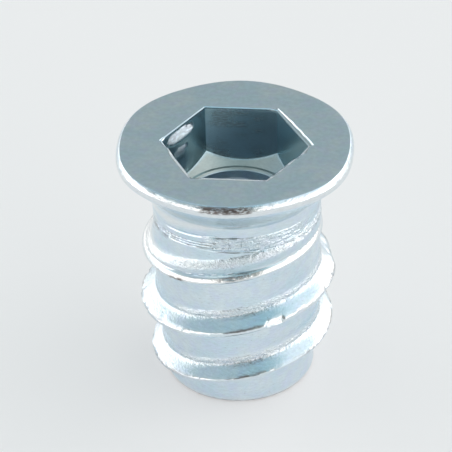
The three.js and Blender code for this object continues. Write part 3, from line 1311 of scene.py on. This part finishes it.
@dataclass(frozen=True)
class Ledge:
    """A shallow ledge beside the mouth, where the punch struck twice."""

    middle: float  # its middle round the axis, in radians
    side: Ends  # angles from its middle between which it ends
    share: float = 1.0  # its width, as a share of the widest ledge's
    narrowing: float = 0.0  # share that it loses towards greater angles
    narrowed: Ends = (0.1, 1.0)  # angles between which it does

    def at(self, angles: Array) -> Array:
        """Its share of the widest ledge's width at each angle."""
        share = smooth_step(np.abs(turned_apart(angles, self.middle)), *self.side)
        return self.share * share * (1 - self.narrowing * smooth_step(angles, *self.narrowed))


@dataclass(frozen=True)
class Socket:
    """The hexagon that the punch leaves, with a cone and a level floor under it.

    Millimetres, and radians from the front. The mouth's rows run from the ledge's outer edge
    over its foot to the lip, and round the lip to the wall.
    """

    across_flats: float = 8.0
    corner_depth: float = 3.35
    floor_slope: float = math.radians(42)
    lip: float = 0.10  # width of the bevel round the mouth
    front_lip: float = 0.28  # its width towards the front
    lip_side: Ends = (1.46, 1.25)
    lip_slope: float = math.radians(15)
    side_slope: float = math.radians(27)
    slope_side: Ends = (0.45, 0.6)
    lip_burr: float = 0.15  # how uneven the bevel is
    ledge_burr: float = 0.12
    ledge_width: float = 0.24
    ledge_depth: float = 0.1
    ledge_end: float = 0.3  # share of its width at which it has its full depth
    right_ledge: Ledge = Ledge(math.radians(22), (0.80, 0.62), narrowing=0.6)
    left_ledge: Ledge = Ledge(math.radians(184), (0.16, 0.06), share=0.3)
    face_shares: tuple[float, ...] = (0.4, 0.85)  # rows on the way in to the mouth
    mouth_rows: tuple[MouthRow, ...] = (
        MouthRow(1.0, ledge=1.0, gap=0.012, depth=0.0),
        MouthRow(1.0, ledge=0.65, gap=0.008, depth=0.9),
        MouthRow(1.0, ledge=0.55, gap=0.004),
        MouthRow(1.0, ledge=0.02),
        MouthRow(0.9, drop=0.06),
        MouthRow(0.1, drop=0.86),
        MouthRow(0.0, drop=0.86, bend=0.37),
    )
    scars: tuple[Scar, ...] = (
        Scar(math.radians(154), 0.78, math.radians(19), 0.42, 0.42, -0.05),
        Scar(math.radians(155), 1.90, math.radians(10), 0.22, 0.18, 0.05),
    )
    upper_rows: int = 14  # of the wall's upper half
    lower_rows: int = 5
    cone_rows: int = 4
    burr: Grain = Grain(31, (0.35, 0.35, 1.0))
    smear: Grain = Grain(32, (1.3, 1.3, 0.45))
    scar_edge: float = 0.04  # depth of a scar at which its skin is all scar
    scar_satin: float = 0.5
    scar_bright: float = 0.1
    scar_dirt: float = 0.4
    lip_bright: float = 0.25
    smear_middle: float = math.radians(96)  # the wall that is smeared
    smear_side: Ends = (0.55, 0.35)
    smear_grain: Ends = (-0.3, 0.5)
    smear_dirt: float = 0.45
    grey_right: Ends = (0.2, 0.8)  # cosines of the angle between which the floor's grey grows fainter
    grey_shares: Ends = (1.0, 0.4)
    shade_depth: Ends = (-0.15, -0.35)  # heights under the top face where the painted shade begins

    def corner(self) -> float:
        """Radius of the hexagon's corners."""
        return self.across_flats / 2 / math.cos(math.pi / HEX_SIDES)

    def hexagon(self, angle: Array) -> Array:
        """Radius of the hexagon: half its width over the cosine of the angle from a flat."""
        side = FULL_TURN / HEX_SIDES
        return self.across_flats / 2 / np.cos(angle % side - side / 2)

    def floor(self, radius: Array) -> Array:
        """Height of the floor: a cone under the corners, and level inside the floor's depth."""
        cone = TOP - self.corner_depth - (self.corner() - radius) * math.tan(self.floor_slope)
        return np.maximum(cone, TOP - FLOOR_DEPTH)

    def mouth(self, angles: Array) -> tuple[Array, Array]:
        """The last of the top face, the ledge and the bevelled lip.

        The lip is wider towards the front, and its drop is its width times the tangent of its
        slope. Both it and the ledge are made uneven by the burr.

        Args:
            angles: Angles of the columns.

        Returns:
            Radii and heights, rows by columns.
        """
        hexagon = self.hexagon(angles)
        ledge = np.maximum(self.right_ledge.at(angles), self.left_ledge.at(angles))
        depth = self.ledge_depth * smooth_step(ledge, 0.0, self.ledge_end)
        front = np.abs(turned_apart(angles, FRONT))
        lip = between(smooth_step(front, *self.lip_side), (self.lip, self.front_lip))
        slope = between(smooth_step(front, *self.slope_side), (self.lip_slope, self.side_slope))
        drop = lip * np.tan(slope)
        middle_radius = self.across_flats / 2
        x, y = middle_radius * np.cos(angles), middle_radius * np.sin(angles)
        burr = self.burr.at(x, y, 0 * angles)
        width = self.ledge_width * ledge * (1 + self.ledge_burr * burr)
        lip = lip * (1 + self.lip_burr * burr)

        rows = self.mouth_rows
        radius = [hexagon + row.lip * lip + row.ledge * width + row.gap for row in rows]
        height = [TOP - row.depth * depth - row.drop * drop - row.bend * lip for row in rows]
        face = [MOUTH_RADIUS + share * (radius[0] - MOUTH_RADIUS) for share in self.face_shares]
        level = [np.full_like(angles, TOP) for _ in face]
        return np.stack(face + radius), np.stack(level + height)

    def wall(self, angles: Array, lip_height: Array) -> tuple[Array, Array, Array]:
        """The walls, straight down the hexagon to the floor, with the scars carved into them.

        Args:
            angles: Angles of the columns.
            lip_height: Height of the lip's end at each.

        Returns:
            Radii and heights, rows by columns, and how deep each point is scarred.
        """
        hexagon = self.hexagon(angles)
        upper = np.linspace(0, 0.5, self.upper_rows + 1)[1:]
        lower = np.linspace(0.5, 1, self.lower_rows + 1)[1:]
        down = np.concatenate([upper, lower])[:, None]
        height = lip_height + down * (self.floor(hexagon) - lip_height)
        scarred = sum(scar.carve(angles, TOP - height) for scar in self.scars)
        return hexagon + scarred, height, scarred

    def bottom(self, angles: Array) -> tuple[Array, Array]:
        """The cone under the corners, the level floor and half the bore's chamfer.

        Args:
            angles: Angles of the columns.

        Returns:
            Radii and heights, rows by columns.
        """
        hexagon = self.hexagon(angles)
        level_edge = self.corner() - (FLOOR_DEPTH - self.corner_depth) / math.tan(self.floor_slope)
        inwards = np.linspace(0, 1, self.cone_rows + 1)[1:, None]
        cone = hexagon + inwards * (level_edge - hexagon)
        mouth = BORE_RADIUS + BORE_CHAMFER
        level = np.array([0.5 * (level_edge + mouth), mouth, mouth - 0.5 * BORE_CHAMFER])
        height = TOP - FLOOR_DEPTH - np.array([0, 0, 0.5 * BORE_CHAMFER])
        columns = np.ones((1, angles.size))
        radii = np.concatenate([cone, level[:, None] * columns])
        return radii, np.concatenate([self.floor(cone), height[:, None] * columns])

    def rows(self, angles: Array) -> Band:
        """The mouth, the walls, the floor and the bore's mouth.

        The wall's rows are those after the mouth's and before the bottom's. The walls and the bottom
        get painted shade, a darker blue, the bottom is greyer, less so to the right, and the scars
        are drawn smooth.

        Args:
            angles: Angles of the columns.

        Returns:
            The rows, from the top face down to the bore.
        """
        mouth_r, mouth_h = self.mouth(angles)
        wall_r, wall_h, scarred = self.wall(angles, mouth_h[-1])
        bottom_r, bottom_h = self.bottom(angles)
        radius = np.concatenate([mouth_r, wall_r, bottom_r])
        height = np.concatenate([mouth_h, wall_h, bottom_h])
        angle = np.broadcast_to(angles[None, :], radius.shape)

        row = np.arange(radius.shape[0])[:, None]
        face_end = len(self.face_shares) + 1
        wall_start, wall_end = len(mouth_r), len(mouth_r) + len(wall_r)
        on_face, on_bottom = row < face_end, row >= wall_end
        on_lip, on_wall = (row >= face_end) & (row < wall_start), (row >= wall_start) & ~on_bottom
        marked = np.zeros_like(radius)
        marked[wall_start:wall_end] = smooth_step(scarred, 0.0, self.scar_edge)
        floor_grey = between(smooth_step(np.cos(angle), *self.grey_right), self.grey_shares)
        aside = np.abs(turned_apart(angle, self.smear_middle))
        smear = self.smear.at(radius * np.cos(angle), radius * np.sin(angle), height)
        smeared = self.smear_dirt * on_wall * smooth_step(aside, *self.smear_side)
        smeared = smeared * smooth_step(smear, *self.smear_grain)
        # painted shade on the walls and the bottom, less where a scar is
        film = smooth_step(height - TOP, *self.shade_depth) * (1 - marked)
        zones = {
            Zone.SATIN: np.where(on_face | on_bottom, 1.0, self.scar_satin * marked),
            Zone.BURNISH: np.where(on_lip, self.lip_bright, self.scar_bright * marked),
            Zone.LINES: marked,
            Zone.SCUFF: self.scar_dirt * marked + smeared,
            Zone.DEEP: film * np.where(on_bottom, floor_grey, 1.0),
            Zone.STAIN: np.where(on_bottom, floor_grey, 0.0),
        }
        return Band(angle, radius, height, zones)


# ---- The bore ----------------------------------------------------------------------------------


@dataclass(frozen=True)
class Bore:
    """The threaded bore, from the socket's floor down to the pilot end. Millimetres."""

    top: float = TOP - FLOOR_DEPTH
    major_radius: float = 4.0
    pitch: float = 1.25
    half_thread: float = math.radians(30)
    end_chamfer: float = 0.4
    plain_top: float = 0.75  # depth of the plain stretch under the socket's floor
    run_out: float = 0.45  # height in which the groove fades in under it
    root_flat: float = 0.156
    crest_rows: tuple[float, float] = (0.7, 1.3)  # rows on a crest, in half widths of it

    def groove(self) -> tuple[float, float]:
        """Depth of the thread's groove, and half its width at the bore's wall."""
        deep = self.major_radius - BORE_RADIUS
        return deep, self.root_flat / 2 + deep * math.tan(self.half_thread)

    def surface(self, angle: Array, height: Array) -> Array:
        """Radius of the bore: the tapping size, and the groove cut into it.

        The groove deepens from each of its edges by the distance in, over the tangent of half
        the thread's angle, down to a flat root, and it fades in from both ends of the bore.

        Args:
            angle: Angles round the axis.
            height: Heights over the pilot end.

        Returns:
            The radius in millimetres.
        """
        share = height / self.pitch - angle / FULL_TURN
        off = np.abs(share - np.round(share)) * self.pitch
        deep, half = self.groove()
        groove = np.clip((half - off) / math.tan(self.half_thread), 0, deep)
        plain_end = self.top - self.plain_top
        fade = smooth_step(height, self.end_chamfer / 2, self.pitch)
        fade = fade * smooth_step(height, plain_end, plain_end - self.run_out)
        return BORE_RADIUS + groove * fade

    def stops(self) -> Array:
        """Heights of the rows of one pitch, over the middle of the groove."""
        flat = self.root_flat / 2
        _, half = self.groove()
        flanks = [-half, -0.5 * (half + flat), -flat, flat, 0.5 * (half + flat), half]
        crest = self.pitch / 2 - half
        return np.array(flanks + [half + share * crest for share in self.crest_rows])

    def helix_rows(self, angles: Array) -> Band:
        """The thread, in rows that go down the bore and climb with the helix.

        Args:
            angles: Angles of the columns.

        Returns:
            Rows from above the plain stretch to below the end chamfer.
        """
        stops = self.stops()
        pitches = math.ceil(self.top / self.pitch)
        row = np.arange((pitches + 3) * stops.size)[:, None]
        whole = pitches + 1 - row // stops.size
        height = self.pitch * (whole + angles[None, :] / FULL_TURN)
        height = height - stops[row % stops.size]
        angle = np.broadcast_to(angles[None, :], height.shape)
        return Band(angle, self.surface(angle, height), height, {Zone.SATIN: 1.0})

    def ring(self, angles: Array, height: float, radius: float) -> Band:
        """One ring of points.

        Args:
            angles: Angles of the columns.
            height: Its height over the pilot end.
            radius: Its radius.

        Returns:
            The ring as a single row.
        """
        row = np.full((1, angles.size), 1.0)
        zones = {Zone.SATIN: 1.0}
        return Band(angles[None, :], radius * row, height * row, zones)


# ---- Finishes ----------------------------------------------------------------------------------


class Sheet:
    """A material's or a world's nodes, with short ways to add and join them."""

    def __init__(self, tree: bpy.types.NodeTree) -> None:
        """Empties a node tree and keeps it.

        Args:
            tree: The tree to fill.
        """
        tree.nodes.clear()
        self.tree = tree

    def add(self, kind: str, inputs: dict | None = None, **settings: object) -> bpy.types.Node:
        """Adds a node.

        Args:
            kind: The node's type.
            inputs: For each input's name or number, a value or the output to join to it.
            settings: The node's own settings.

        Returns:
            The node.
        """
        node = self.tree.nodes.new(kind)
        for name, value in settings.items():
            setattr(node, name, value)
        for key, value in (inputs or {}).items():
            if isinstance(value, bpy.types.NodeSocket):
                self.tree.links.new(value, node.inputs[key])
            else:
                node.inputs[key].default_value = value
        return node

    def math(self, operation: str, *values: object) -> bpy.types.NodeSocket:
        """The result of an operation on numbers."""
        node = self.add("ShaderNodeMath", dict(enumerate(values)), operation=operation)
        return node.outputs[0]

    def vector(self, operation: str, *values: object) -> bpy.types.NodeSocket:
        """The vector that an operation on vectors gives."""
        node = self.add("ShaderNodeVectorMath", dict(enumerate(values)), operation=operation)
        return node.outputs[0]

    def dot(self, first: object, second: object) -> bpy.types.NodeSocket:
        """The scalar product of two vectors."""
        inputs = {0: first, 1: second}
        return self.add("ShaderNodeVectorMath", inputs, operation="DOT_PRODUCT").outputs["Value"]

    def span(self, value: object, low: float, high: float, to: Ends) -> bpy.types.NodeSocket:
        """A value's smooth way from low to high, brought between the two ends of to."""
        names = ("Value", "From Min", "From Max", "To Min", "To Max")
        inputs = dict(zip(names, (value, low, high, *to)))
        node = self.add("ShaderNodeMapRange", inputs, interpolation_type="SMOOTHSTEP")
        return node.outputs[0]

    def share(self, value: object, ends: Ends) -> bpy.types.NodeSocket:
        """Share from 0 to 1 of a value's way from one end to the other; ends may fall."""
        low, high = sorted(ends)
        return self.span(value, low, high, (0.0, 1.0) if ends[0] < ends[1] else (1.0, 0.0))

    def mix(self, share: object, first: object, second: object) -> bpy.types.NodeSocket:
        """Two colours mixed by a share."""
        inputs = {0: share, 6: first, 7: second}
        return self.add("ShaderNodeMix", inputs, data_type="RGBA").outputs[2]

    def noise(self, vector: object, scale: float, detail: float) -> bpy.types.NodeSocket:
        """A smooth random field from 0 to 1."""
        inputs = {"Vector": vector, "Scale": scale, "Detail": detail, "Roughness": 0.55}
        return self.add("ShaderNodeTexNoise", inputs).outputs["Fac"]

    def zone(self, zone: Zone) -> bpy.types.NodeSocket:
        """The share of a zone at each point of the surface."""
        node = self.add("ShaderNodeAttribute", attribute_name=zone.value)
        return node.outputs["Fac"]


@dataclass(frozen=True)
class Pattern:
    """A random pattern in the plating."""

    scale: float  # its cells in a millimetre
    detail: float  # how many finer layers it has
    edges: Ends = (0.0, 1.0)  # values of the random field between which it changes
    ends: Ends = (0.0, 1.0)  # what it is at both of them
    stretch: tuple[float, float, float] | None = None  # factors on X, Y and Z

    def field(self, sheet: Sheet, place: object) -> bpy.types.NodeSocket:
        """The random field alone, at places in millimetres."""
        if self.stretch:
            place = sheet.vector("MULTIPLY", place, self.stretch)
        return sheet.noise(place, self.scale, self.detail)

    def spread(self, sheet: Sheet, field: object) -> bpy.types.NodeSocket:
        """The pattern: the field's smooth way between its edges, brought between the ends."""
        return sheet.span(field, *self.edges, self.ends)

    def at(self, sheet: Sheet, place: object) -> bpy.types.NodeSocket:
        """The pattern at places in millimetres."""
        return self.spread(sheet, self.field(sheet, place))


@dataclass(frozen=True)
class BlueZinc:
    """Bright zinc plating under a faint blue passivation, with its wear, painted shade and a painted
    highlight.
    """

    name: str = "blue_zinc_plate"  # the material's name
    blue: Colour = (0.62, 0.77, 0.85)  # colour of most of the plating
    pale: Colour = (0.71, 0.81, 0.86)  # colour where the film is thin
    lilac: Colour = (0.66, 0.74, 0.89)  # colour in clouds over both
    shade_blue: Colour = (0.54, 0.685, 0.745)  # colour of painted shade, a darker blue, as inside the socket
    grey_tint_and_shade: Colour = (0.58, 0.63, 0.605)  # grey of the painted shade under the flange, and of the socket's floor
    worn: Colour = (0.86, 0.88, 0.88)  # colour of rubbed and torn zinc, and of the painted highlight on the gathered shelf
    dull: Colour = (0.16, 0.13, 0.12)  # colour of scuffs, dirt and pits, and of the painted contact shade at the pilot's foot
    film: Pattern = Pattern(0.45, 3.0, (0.35, 0.65))  # where the film is thin
    cloud: Pattern = Pattern(1.3, 4.0, (0.4, 0.7), (0.0, 0.6))  # where it is lilac
    # The brightness changes finely, and is drawn out round the nut.
    mottle: Pattern = Pattern(5.0, 6.0, (0.3, 0.7), (0.955, 1.045), (0.6, 0.6, 2.4))
    # How much of a scuff is dull.
    streak: Pattern = Pattern(6.5, 3.0, (0.46, 0.62), (0.92, 0.1), (0.5, 0.5, 2.4))
    pit: Pattern = Pattern(11.0, 1.0, (0.74, 0.80))  # small pits
    # The fine grain, and the roughness that goes with it.
    grain: Pattern = Pattern(9.0, 3.0, (0.2, 0.8), (0.17, 0.25))
    rings: Pattern = Pattern(1.3, 3.0, stretch=(0.5, 0.5, 9.0))  # fine lines round the nut
    torn: Pattern = Pattern(6.5, 3.0, stretch=(1.0, 1.0, 1.4))  # the ragged skin of torn steel
    bare_and_highlight: float = 0.75  # share of the worn colour where the steel is rubbed, and on the painted highlight
    torn_bare: float = 0.25  # how much torn steel counts as rubbed
    pit_dull: float = 0.5  # share of the dull colour in a pit
    # What each kind of surface adds to the roughness.
    roughness: tuple[tuple[Zone, float], ...] = (
        (Zone.SATIN, 0.17),
        (Zone.ROLLED, 0.10),
        (Zone.SCUFF, 0.2),
        (Zone.BURNISH, -0.05),
    )
    grain_height: float = 0.004  # height of the grain in millimetres, as of the next ones
    ring_height: float = 0.006  # height of the lines
    torn_height: float = 0.10  # height of the ragged skin
    pit_height: float = -0.012  # height of a pit, which is below 0

    def colour(self, sheet: Sheet, place: object, zones: dict, pit: object) -> object:
        """The colour: each tint is laid over the ones before it by its own share.

        Args:
            sheet: The material's nodes.
            place: Places on the nut in millimetres.
            zones: Share of each kind of surface.
            pit: Share of the pits.

        Returns:
            The colour's output.
        """
        torn = sheet.math("MULTIPLY", zones[Zone.ROLLED], self.torn_bare)
        bare_and_highlight = sheet.math("MAXIMUM", zones[Zone.BURNISH], torn)
        bare_and_highlight = sheet.math("MULTIPLY", bare_and_highlight, self.bare_and_highlight)
        dull = sheet.math("MULTIPLY", zones[Zone.SCUFF], self.streak.at(sheet, place))
        dull = sheet.math("MAXIMUM", dull, sheet.math("MULTIPLY", pit, self.pit_dull))
        colour = (*self.blue, 1)
        for share, tint in (
            (self.film.at(sheet, place), self.pale),
            (self.cloud.at(sheet, place), self.lilac),
            # painted shade: the darker blue, then the grey
            (zones[Zone.DEEP], self.shade_blue),
            (zones[Zone.STAIN], self.grey_tint_and_shade),
            (bare_and_highlight, self.worn),
            (dull, self.dull),
        ):
            colour = sheet.mix(share, colour, (*tint, 1))
        inputs = {0: colour, "Scale": self.mottle.at(sheet, place)}
        return sheet.add("ShaderNodeVectorMath", inputs, operation="SCALE").outputs["Vector"]

    def relief(self, sheet: Sheet, place: object, zones: dict, grain: object, pit: object) -> object:
        """The bump: the sum of the grain, the lines, the ragged skin and the pits.

        Args:
            sheet: The material's nodes.
            place: Places on the nut in millimetres.
            zones: Share of each kind of surface.
            grain: The grain's random field.
            pit: Share of the pits.

        Returns:
            The output that gives the bumped normal.
        """
        rings = sheet.math("MULTIPLY", self.rings.field(sheet, place), zones[Zone.LINES])
        torn = sheet.math("MULTIPLY", self.torn.field(sheet, place), zones[Zone.ROLLED])
        total = sheet.math("MULTIPLY", grain, self.grain_height)
        for field, height in (
            (rings, self.ring_height),
            (torn, self.torn_height),
            (pit, self.pit_height),
        ):
            total = sheet.math("ADD", total, sheet.math("MULTIPLY", field, height))
        inputs = {"Height": total, "Strength": 1.0, "Distance": MM}
        return sheet.add("ShaderNodeBump", inputs).outputs["Normal"]

    def material(self) -> bpy.types.Material:
        """Builds the material: its colour, its roughness and its bump.

        The roughness is the grain's, plus what each kind of surface adds by its share.

        Returns:
            The material.
        """
        material = bpy.data.materials.new(self.name)
        material.use_nodes = True
        sheet = Sheet(material.node_tree)
        place = sheet.add("ShaderNodeTexCoord").outputs["Object"]
        place = sheet.vector("MULTIPLY", place, (1 / MM, 1 / MM, 1 / MM))
        zones = {zone: sheet.zone(zone) for zone in Zone}
        grain, pit = self.grain.field(sheet, place), self.pit.at(sheet, place)
        rough = self.grain.spread(sheet, grain)
        for zone, more in self.roughness:
            rough = sheet.math("MULTIPLY_ADD", zones[zone], more, rough)
        inputs = {
            "Base Color": self.colour(sheet, place, zones, pit),
            "Metallic": 1.0,
            "Roughness": rough,
            "Normal": self.relief(sheet, place, zones, grain, pit),
        }
        shader = sheet.add("ShaderNodeBsdfPrincipled", inputs)
        sheet.add("ShaderNodeOutputMaterial", {"Surface": shader.outputs[0]})
        return material


@dataclass(frozen=True)
class PaleFloor:
    """The matt pale sheet that the nut stands on."""

    name: str = "pale_floor"
    colour: Colour = (0.55, 0.545, 0.545)
    glow: Colour = (0.372, 0.370, 0.373)

    def material(self) -> bpy.types.Material:
        """A plain matt material of the floor's colour, lit a little from below."""
        material = bpy.data.materials.new(self.name)
        material.use_nodes = True
        sheet = Sheet(material.node_tree)
        inputs = {
            "Base Color": (*self.colour, 1),
            "Roughness": 0.9,
            "Specular IOR Level": 0.1,
            "Emission Color": (*self.glow, 1),
            "Emission Strength": 1.0,
        }
        shader = sheet.add("ShaderNodeBsdfPrincipled", inputs)
        sheet.add("ShaderNodeOutputMaterial", {"Surface": shader.outputs[0]})
        return material


# ---- The nut -----------------------------------------------------------------------------------


@dataclass(frozen=True)
class InsertNut:
    """The whole nut: its shank, flange, socket and bore wound into one closed mesh."""

    shank: Shank = Shank()
    flange: Flange = Flange()
    socket: Socket = Socket()
    bore: Bore = Bore()
    finish: BlueZinc = BlueZinc()
    columns: int = 336  # points in each ring; the bore's rings have half as many
    sharp_angle: float = math.radians(42)  # over which two faces have a sharp edge between them

    def wind(self) -> tuple[Array, Array, dict[Zone, Array]]:
        """Winds the rows of all parts into one closed surface.

        Returns:
            The points in millimetres, the triangles, and each zone's share at the points.
        """
        winding = Winding(self.columns)
        angles = winding.angles()
        winding.add(self.shank.end_rows(angles))
        neck = self.shank.neck_rows(angles)
        ring = neck.part(slice(0, 1))
        winding.add_helix(self.shank.helix_rows(angles), 1, LEAD_ROWS, ring)
        winding.add(neck.part(slice(1, None)))
        winding.add(self.flange.rows(angles))
        winding.add(self.socket.rows(angles))

        bore, bore_angles = self.bore, winding.angles(self.columns // 2)
        half_chamfer = 0.5 * bore.end_chamfer
        winding.add(bore.ring(bore_angles, bore.top - BORE_CHAMFER, BORE_RADIUS))
        end = bore.ring(bore_angles, bore.end_chamfer, BORE_RADIUS)
        winding.add_helix(bore.helix_rows(bore_angles), -1, bore.stops().size, end)
        winding.add(bore.ring(bore_angles, half_chamfer, BORE_RADIUS + half_chamfer))
        return winding.close()

    def build(self) -> bpy.types.Object:
        """Makes the nut's object, with its zones as attributes and its finish.

        Returns:
            The object, at the origin of the frame.
        """
        points, faces, zones = self.wind()
        mesh = bpy.data.meshes.new("insert_nut_surface")
        mesh.from_pydata((points * MM).tolist(), [], faces.tolist())
        mesh.polygons.foreach_set("use_smooth", np.ones(len(faces), bool))
        mesh.set_sharp_from_angle(angle=self.sharp_angle)
        for zone, share in zones.items():
            attribute = mesh.attributes.new(zone.value, "FLOAT", "POINT")
            attribute.data.foreach_set("value", share.astype(np.float32))
        mesh.materials.append(self.finish.material())
        mesh.update()
        piece = bpy.data.objects.new("insert_nut_surface", mesh)
        bpy.context.scene.collection.objects.link(piece)
        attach(piece, BODY)
        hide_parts(NODE)
        LOG.info("insert nut: %d points, %d triangles", len(points), len(faces))
        return piece


# ---- The studio --------------------------------------------------------------------------------


@dataclass(frozen=True)
class Lamp:
    """A soft lamp aimed at the nut."""

    name: str
    azimuth: float  # its direction round the nut, in degrees from the front towards the right
    elevation: float  # over the floor, in degrees
    distance: float  # in metres, as are the next two
    width: float
    height: float
    radiance: float  # how bright its face is, where 1 is white
    colour: Colour = (1.0, 1.0, 1.0)

    def build(self, target: Vector) -> bpy.types.Object:
        """Makes the lamp. Its power is its radiance times pi times its area.

        Args:
            target: The point it faces.

        Returns:
            The lamp.
        """
        light = bpy.data.lights.new(self.name, "AREA")
        light.shape = "RECTANGLE"
        light.size, light.size_y = self.width, self.height
        light.energy = self.radiance * math.pi * self.width * self.height
        light.color = self.colour
        lamp = bpy.data.objects.new(self.name, light)
        outward = direction(self.azimuth, self.elevation)
        lamp.location = target + self.distance * outward
        lamp.rotation_euler = outward.to_track_quat("Z", "Y").to_euler()
        bpy.context.scene.collection.objects.link(lamp)
        return lamp


def direction(azimuth: float, elevation: float) -> Vector:
    """The unit vector towards an azimuth from the front, -Y, and an elevation, in degrees."""
    around, up = math.radians(azimuth), math.radians(elevation)
    return Vector((math.sin(around) * math.cos(up), -math.cos(around) * math.cos(up), math.sin(up)))


@dataclass(frozen=True)
class Room:
    """The room round the nut, which its faces reflect.

    It is pale at the horizon, greyer above, bluish overhead and to both sides, white low down
    at the sides, and dark where a person stands. Each pair of ends is two values of a
    direction's component, upwards, sideways or forwards, which is 1 straight that way.
    """

    horizon: Colour = (0.82, 0.83, 0.83)
    upper: Colour = (0.335, 0.358, 0.338)
    upper_up: Ends = (0.08, 0.30)
    overhead: Colour = (0.44, 0.62, 0.68)
    overhead_up: Ends = (0.62, 0.88)
    left: Colour = (0.50, 0.59, 0.62)
    right: Colour = (0.98, 1.06, 1.08)
    left_to_right: Ends = (-0.2, 0.2)
    side_aside: Ends = (0.22, 0.50)
    side_up: Ends = (0.45, 0.65)
    wall: Colour = (1.8, 1.68, 1.60)
    wall_aside: Ends = (0.30, 0.45)
    wall_top: Ends = (0.56, 0.42)
    wall_foot: Ends = (-0.02, 0.06)
    wall_lean: float = 0.10  # how much lower its top is for each step to the left
    person: Colour = (0.17, 0.165, 0.16)
    person_azimuth: float = -14  # from the camera, in degrees
    person_aside: Ends = (0.31, 0.21)
    person_ahead: Ends = (0.46, 0.6)
    person_up: Ends = (0.05, 0.15)

    def world(self, camera_azimuth: float) -> bpy.types.World:
        """Builds the world: each part of the room is laid over the ones before it.

        Args:
            camera_azimuth: Azimuth of the camera, in degrees.

        Returns:
            The world, which is also made the scene's own.
        """
        world = bpy.data.worlds.new("room")
        world.use_nodes = True
        bpy.context.scene.world = world
        sheet = Sheet(world.node_tree)
        looking = sheet.add("ShaderNodeTexCoord").outputs["Generated"]
        rightwards = direction(camera_azimuth + 90, 0)
        person_azimuth = camera_azimuth + self.person_azimuth
        up = sheet.dot(looking, (0.0, 0.0, 1.0))
        right = sheet.dot(looking, rightwards)
        aside = sheet.math("ABSOLUTE", right)
        leaning = sheet.dot(looking, Vector((0, 0, 1)) - self.wall_lean * rightwards)
        ahead = sheet.dot(looking, direction(person_azimuth, 0))
        beside = sheet.math("ABSOLUTE", sheet.dot(looking, direction(person_azimuth + 90, 0)))

        left, right_side = (*self.left, 1), (*self.right, 1)
        sides = sheet.mix(sheet.share(right, self.left_to_right), left, right_side)
        colour = (*self.horizon, 1)
        for tint, limits in (
            ((*self.upper, 1), ((up, self.upper_up),)),
            ((*self.overhead, 1), ((up, self.overhead_up),)),
            (sides, ((aside, self.side_aside), (up, self.side_up))),
            (
                (*self.wall, 1),
                ((aside, self.wall_aside), (leaning, self.wall_top), (up, self.wall_foot)),
            ),
            (
                (*self.person, 1),
                ((beside, self.person_aside), (ahead, self.person_ahead), (up, self.person_up)),
            ),
        ):
            shares = [sheet.share(value, ends) for value, ends in limits]
            share = shares[0]
            for other in shares[1:]:
                share = sheet.math("MULTIPLY", share, other)
            colour = sheet.mix(share, colour, tint)
        background = sheet.add("ShaderNodeBackground", {"Color": colour, "Strength": 1.0})
        sheet.add("ShaderNodeOutputWorld", {"Surface": background.outputs[0]})
        return world


@dataclass(frozen=True)
class Studio:
    """The pale floor, the room, the lamps and the camera.

    Lengths are in metres and angles in degrees, but the lens and the sensor are in millimetres.
    """

    room: Room = Room()
    target_height: float = 0.017
    camera_azimuth: float = 6.1
    camera_elevation: float = 33.07
    camera_distance: float = 0.150
    lens: float = 190.64
    sensor_width: float = 36.0
    clip: tuple[float, float] = (0.01, 10.0)
    roll: float = -1.35
    pitch: float = 2.0
    yaw: float = 0.26
    floor_size: float = 1.6
    lamps: tuple[Lamp, ...] = (
        Lamp("left_softbox", -102, 20, 0.30, 0.22, 0.16, 0.8),
        Lamp("right_softbox", 102, 20, 0.30, 0.22, 0.16, 0.8),
    )

    def floor(self) -> bpy.types.Object:
        """A square floor on which the nut stands, marked as stage."""
        half = self.floor_size / 2
        corners = [(-half, -half, 0), (half, -half, 0), (half, half, 0), (-half, half, 0)]
        mesh = bpy.data.meshes.new("floor")
        mesh.from_pydata(corners, [], [(0, 1, 2, 3)])
        mesh.materials.append(PaleFloor().material())
        floor = bpy.data.objects.new("floor", mesh)
        bpy.context.scene.collection.objects.link(floor)
        floor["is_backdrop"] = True
        return floor

    def camera(self) -> bpy.types.Object:
        """The camera, which looks down at the flange, a little off its centre.

        Its axes are those of a camera aimed at the centre of the flange's top, turned by small
        yaw, pitch and roll.

        Returns:
            The camera, which is also made the scene's own.
        """
        outward = direction(self.camera_azimuth, self.camera_elevation)
        around = math.radians(self.camera_azimuth)
        right = Vector((math.cos(around), math.sin(around), 0.0))
        aimed = Matrix((right, -outward.cross(right), -outward))
        turn = (
            Matrix.Rotation(math.radians(self.roll), 3, "Z")
            @ Matrix.Rotation(math.radians(self.pitch), 3, "X")
            @ Matrix.Rotation(math.radians(self.yaw), 3, "Y")
        )
        right, down, forward = turn @ aimed
        data = bpy.data.cameras.new("camera")
        data.lens = self.lens
        data.sensor_width = self.sensor_width
        data.clip_start, data.clip_end = self.clip
        camera = bpy.data.objects.new("camera", data)
        place = Vector((0, 0, self.target_height)) + self.camera_distance * outward
        axes = Matrix((right, -down, -forward)).transposed()
        camera.matrix_world = Matrix.Translation(place) @ axes.to_4x4()
        bpy.context.scene.collection.objects.link(camera)
        bpy.context.scene.camera = camera
        return camera

    def build(self) -> None:
        """Sets the studio up and reports its pieces."""
        bpy.context.scene.view_settings.view_transform = "Standard"
        target = Vector((0, 0, self.target_height / 2))
        for piece in (self.floor(), self.room.world(self.camera_azimuth), self.camera()):
            LOG.info("studio: %s", piece.name)
        for lamp in self.lamps:
            LOG.info("studio: %s", lamp.build(target).name)


def main() -> None:
    """Builds the studio and the nut."""
    logging.basicConfig(level=logging.INFO, format="%(name)s: %(message)s")
    Studio().build()
    InsertNut().build()


if __name__ == "__main__":
    main()
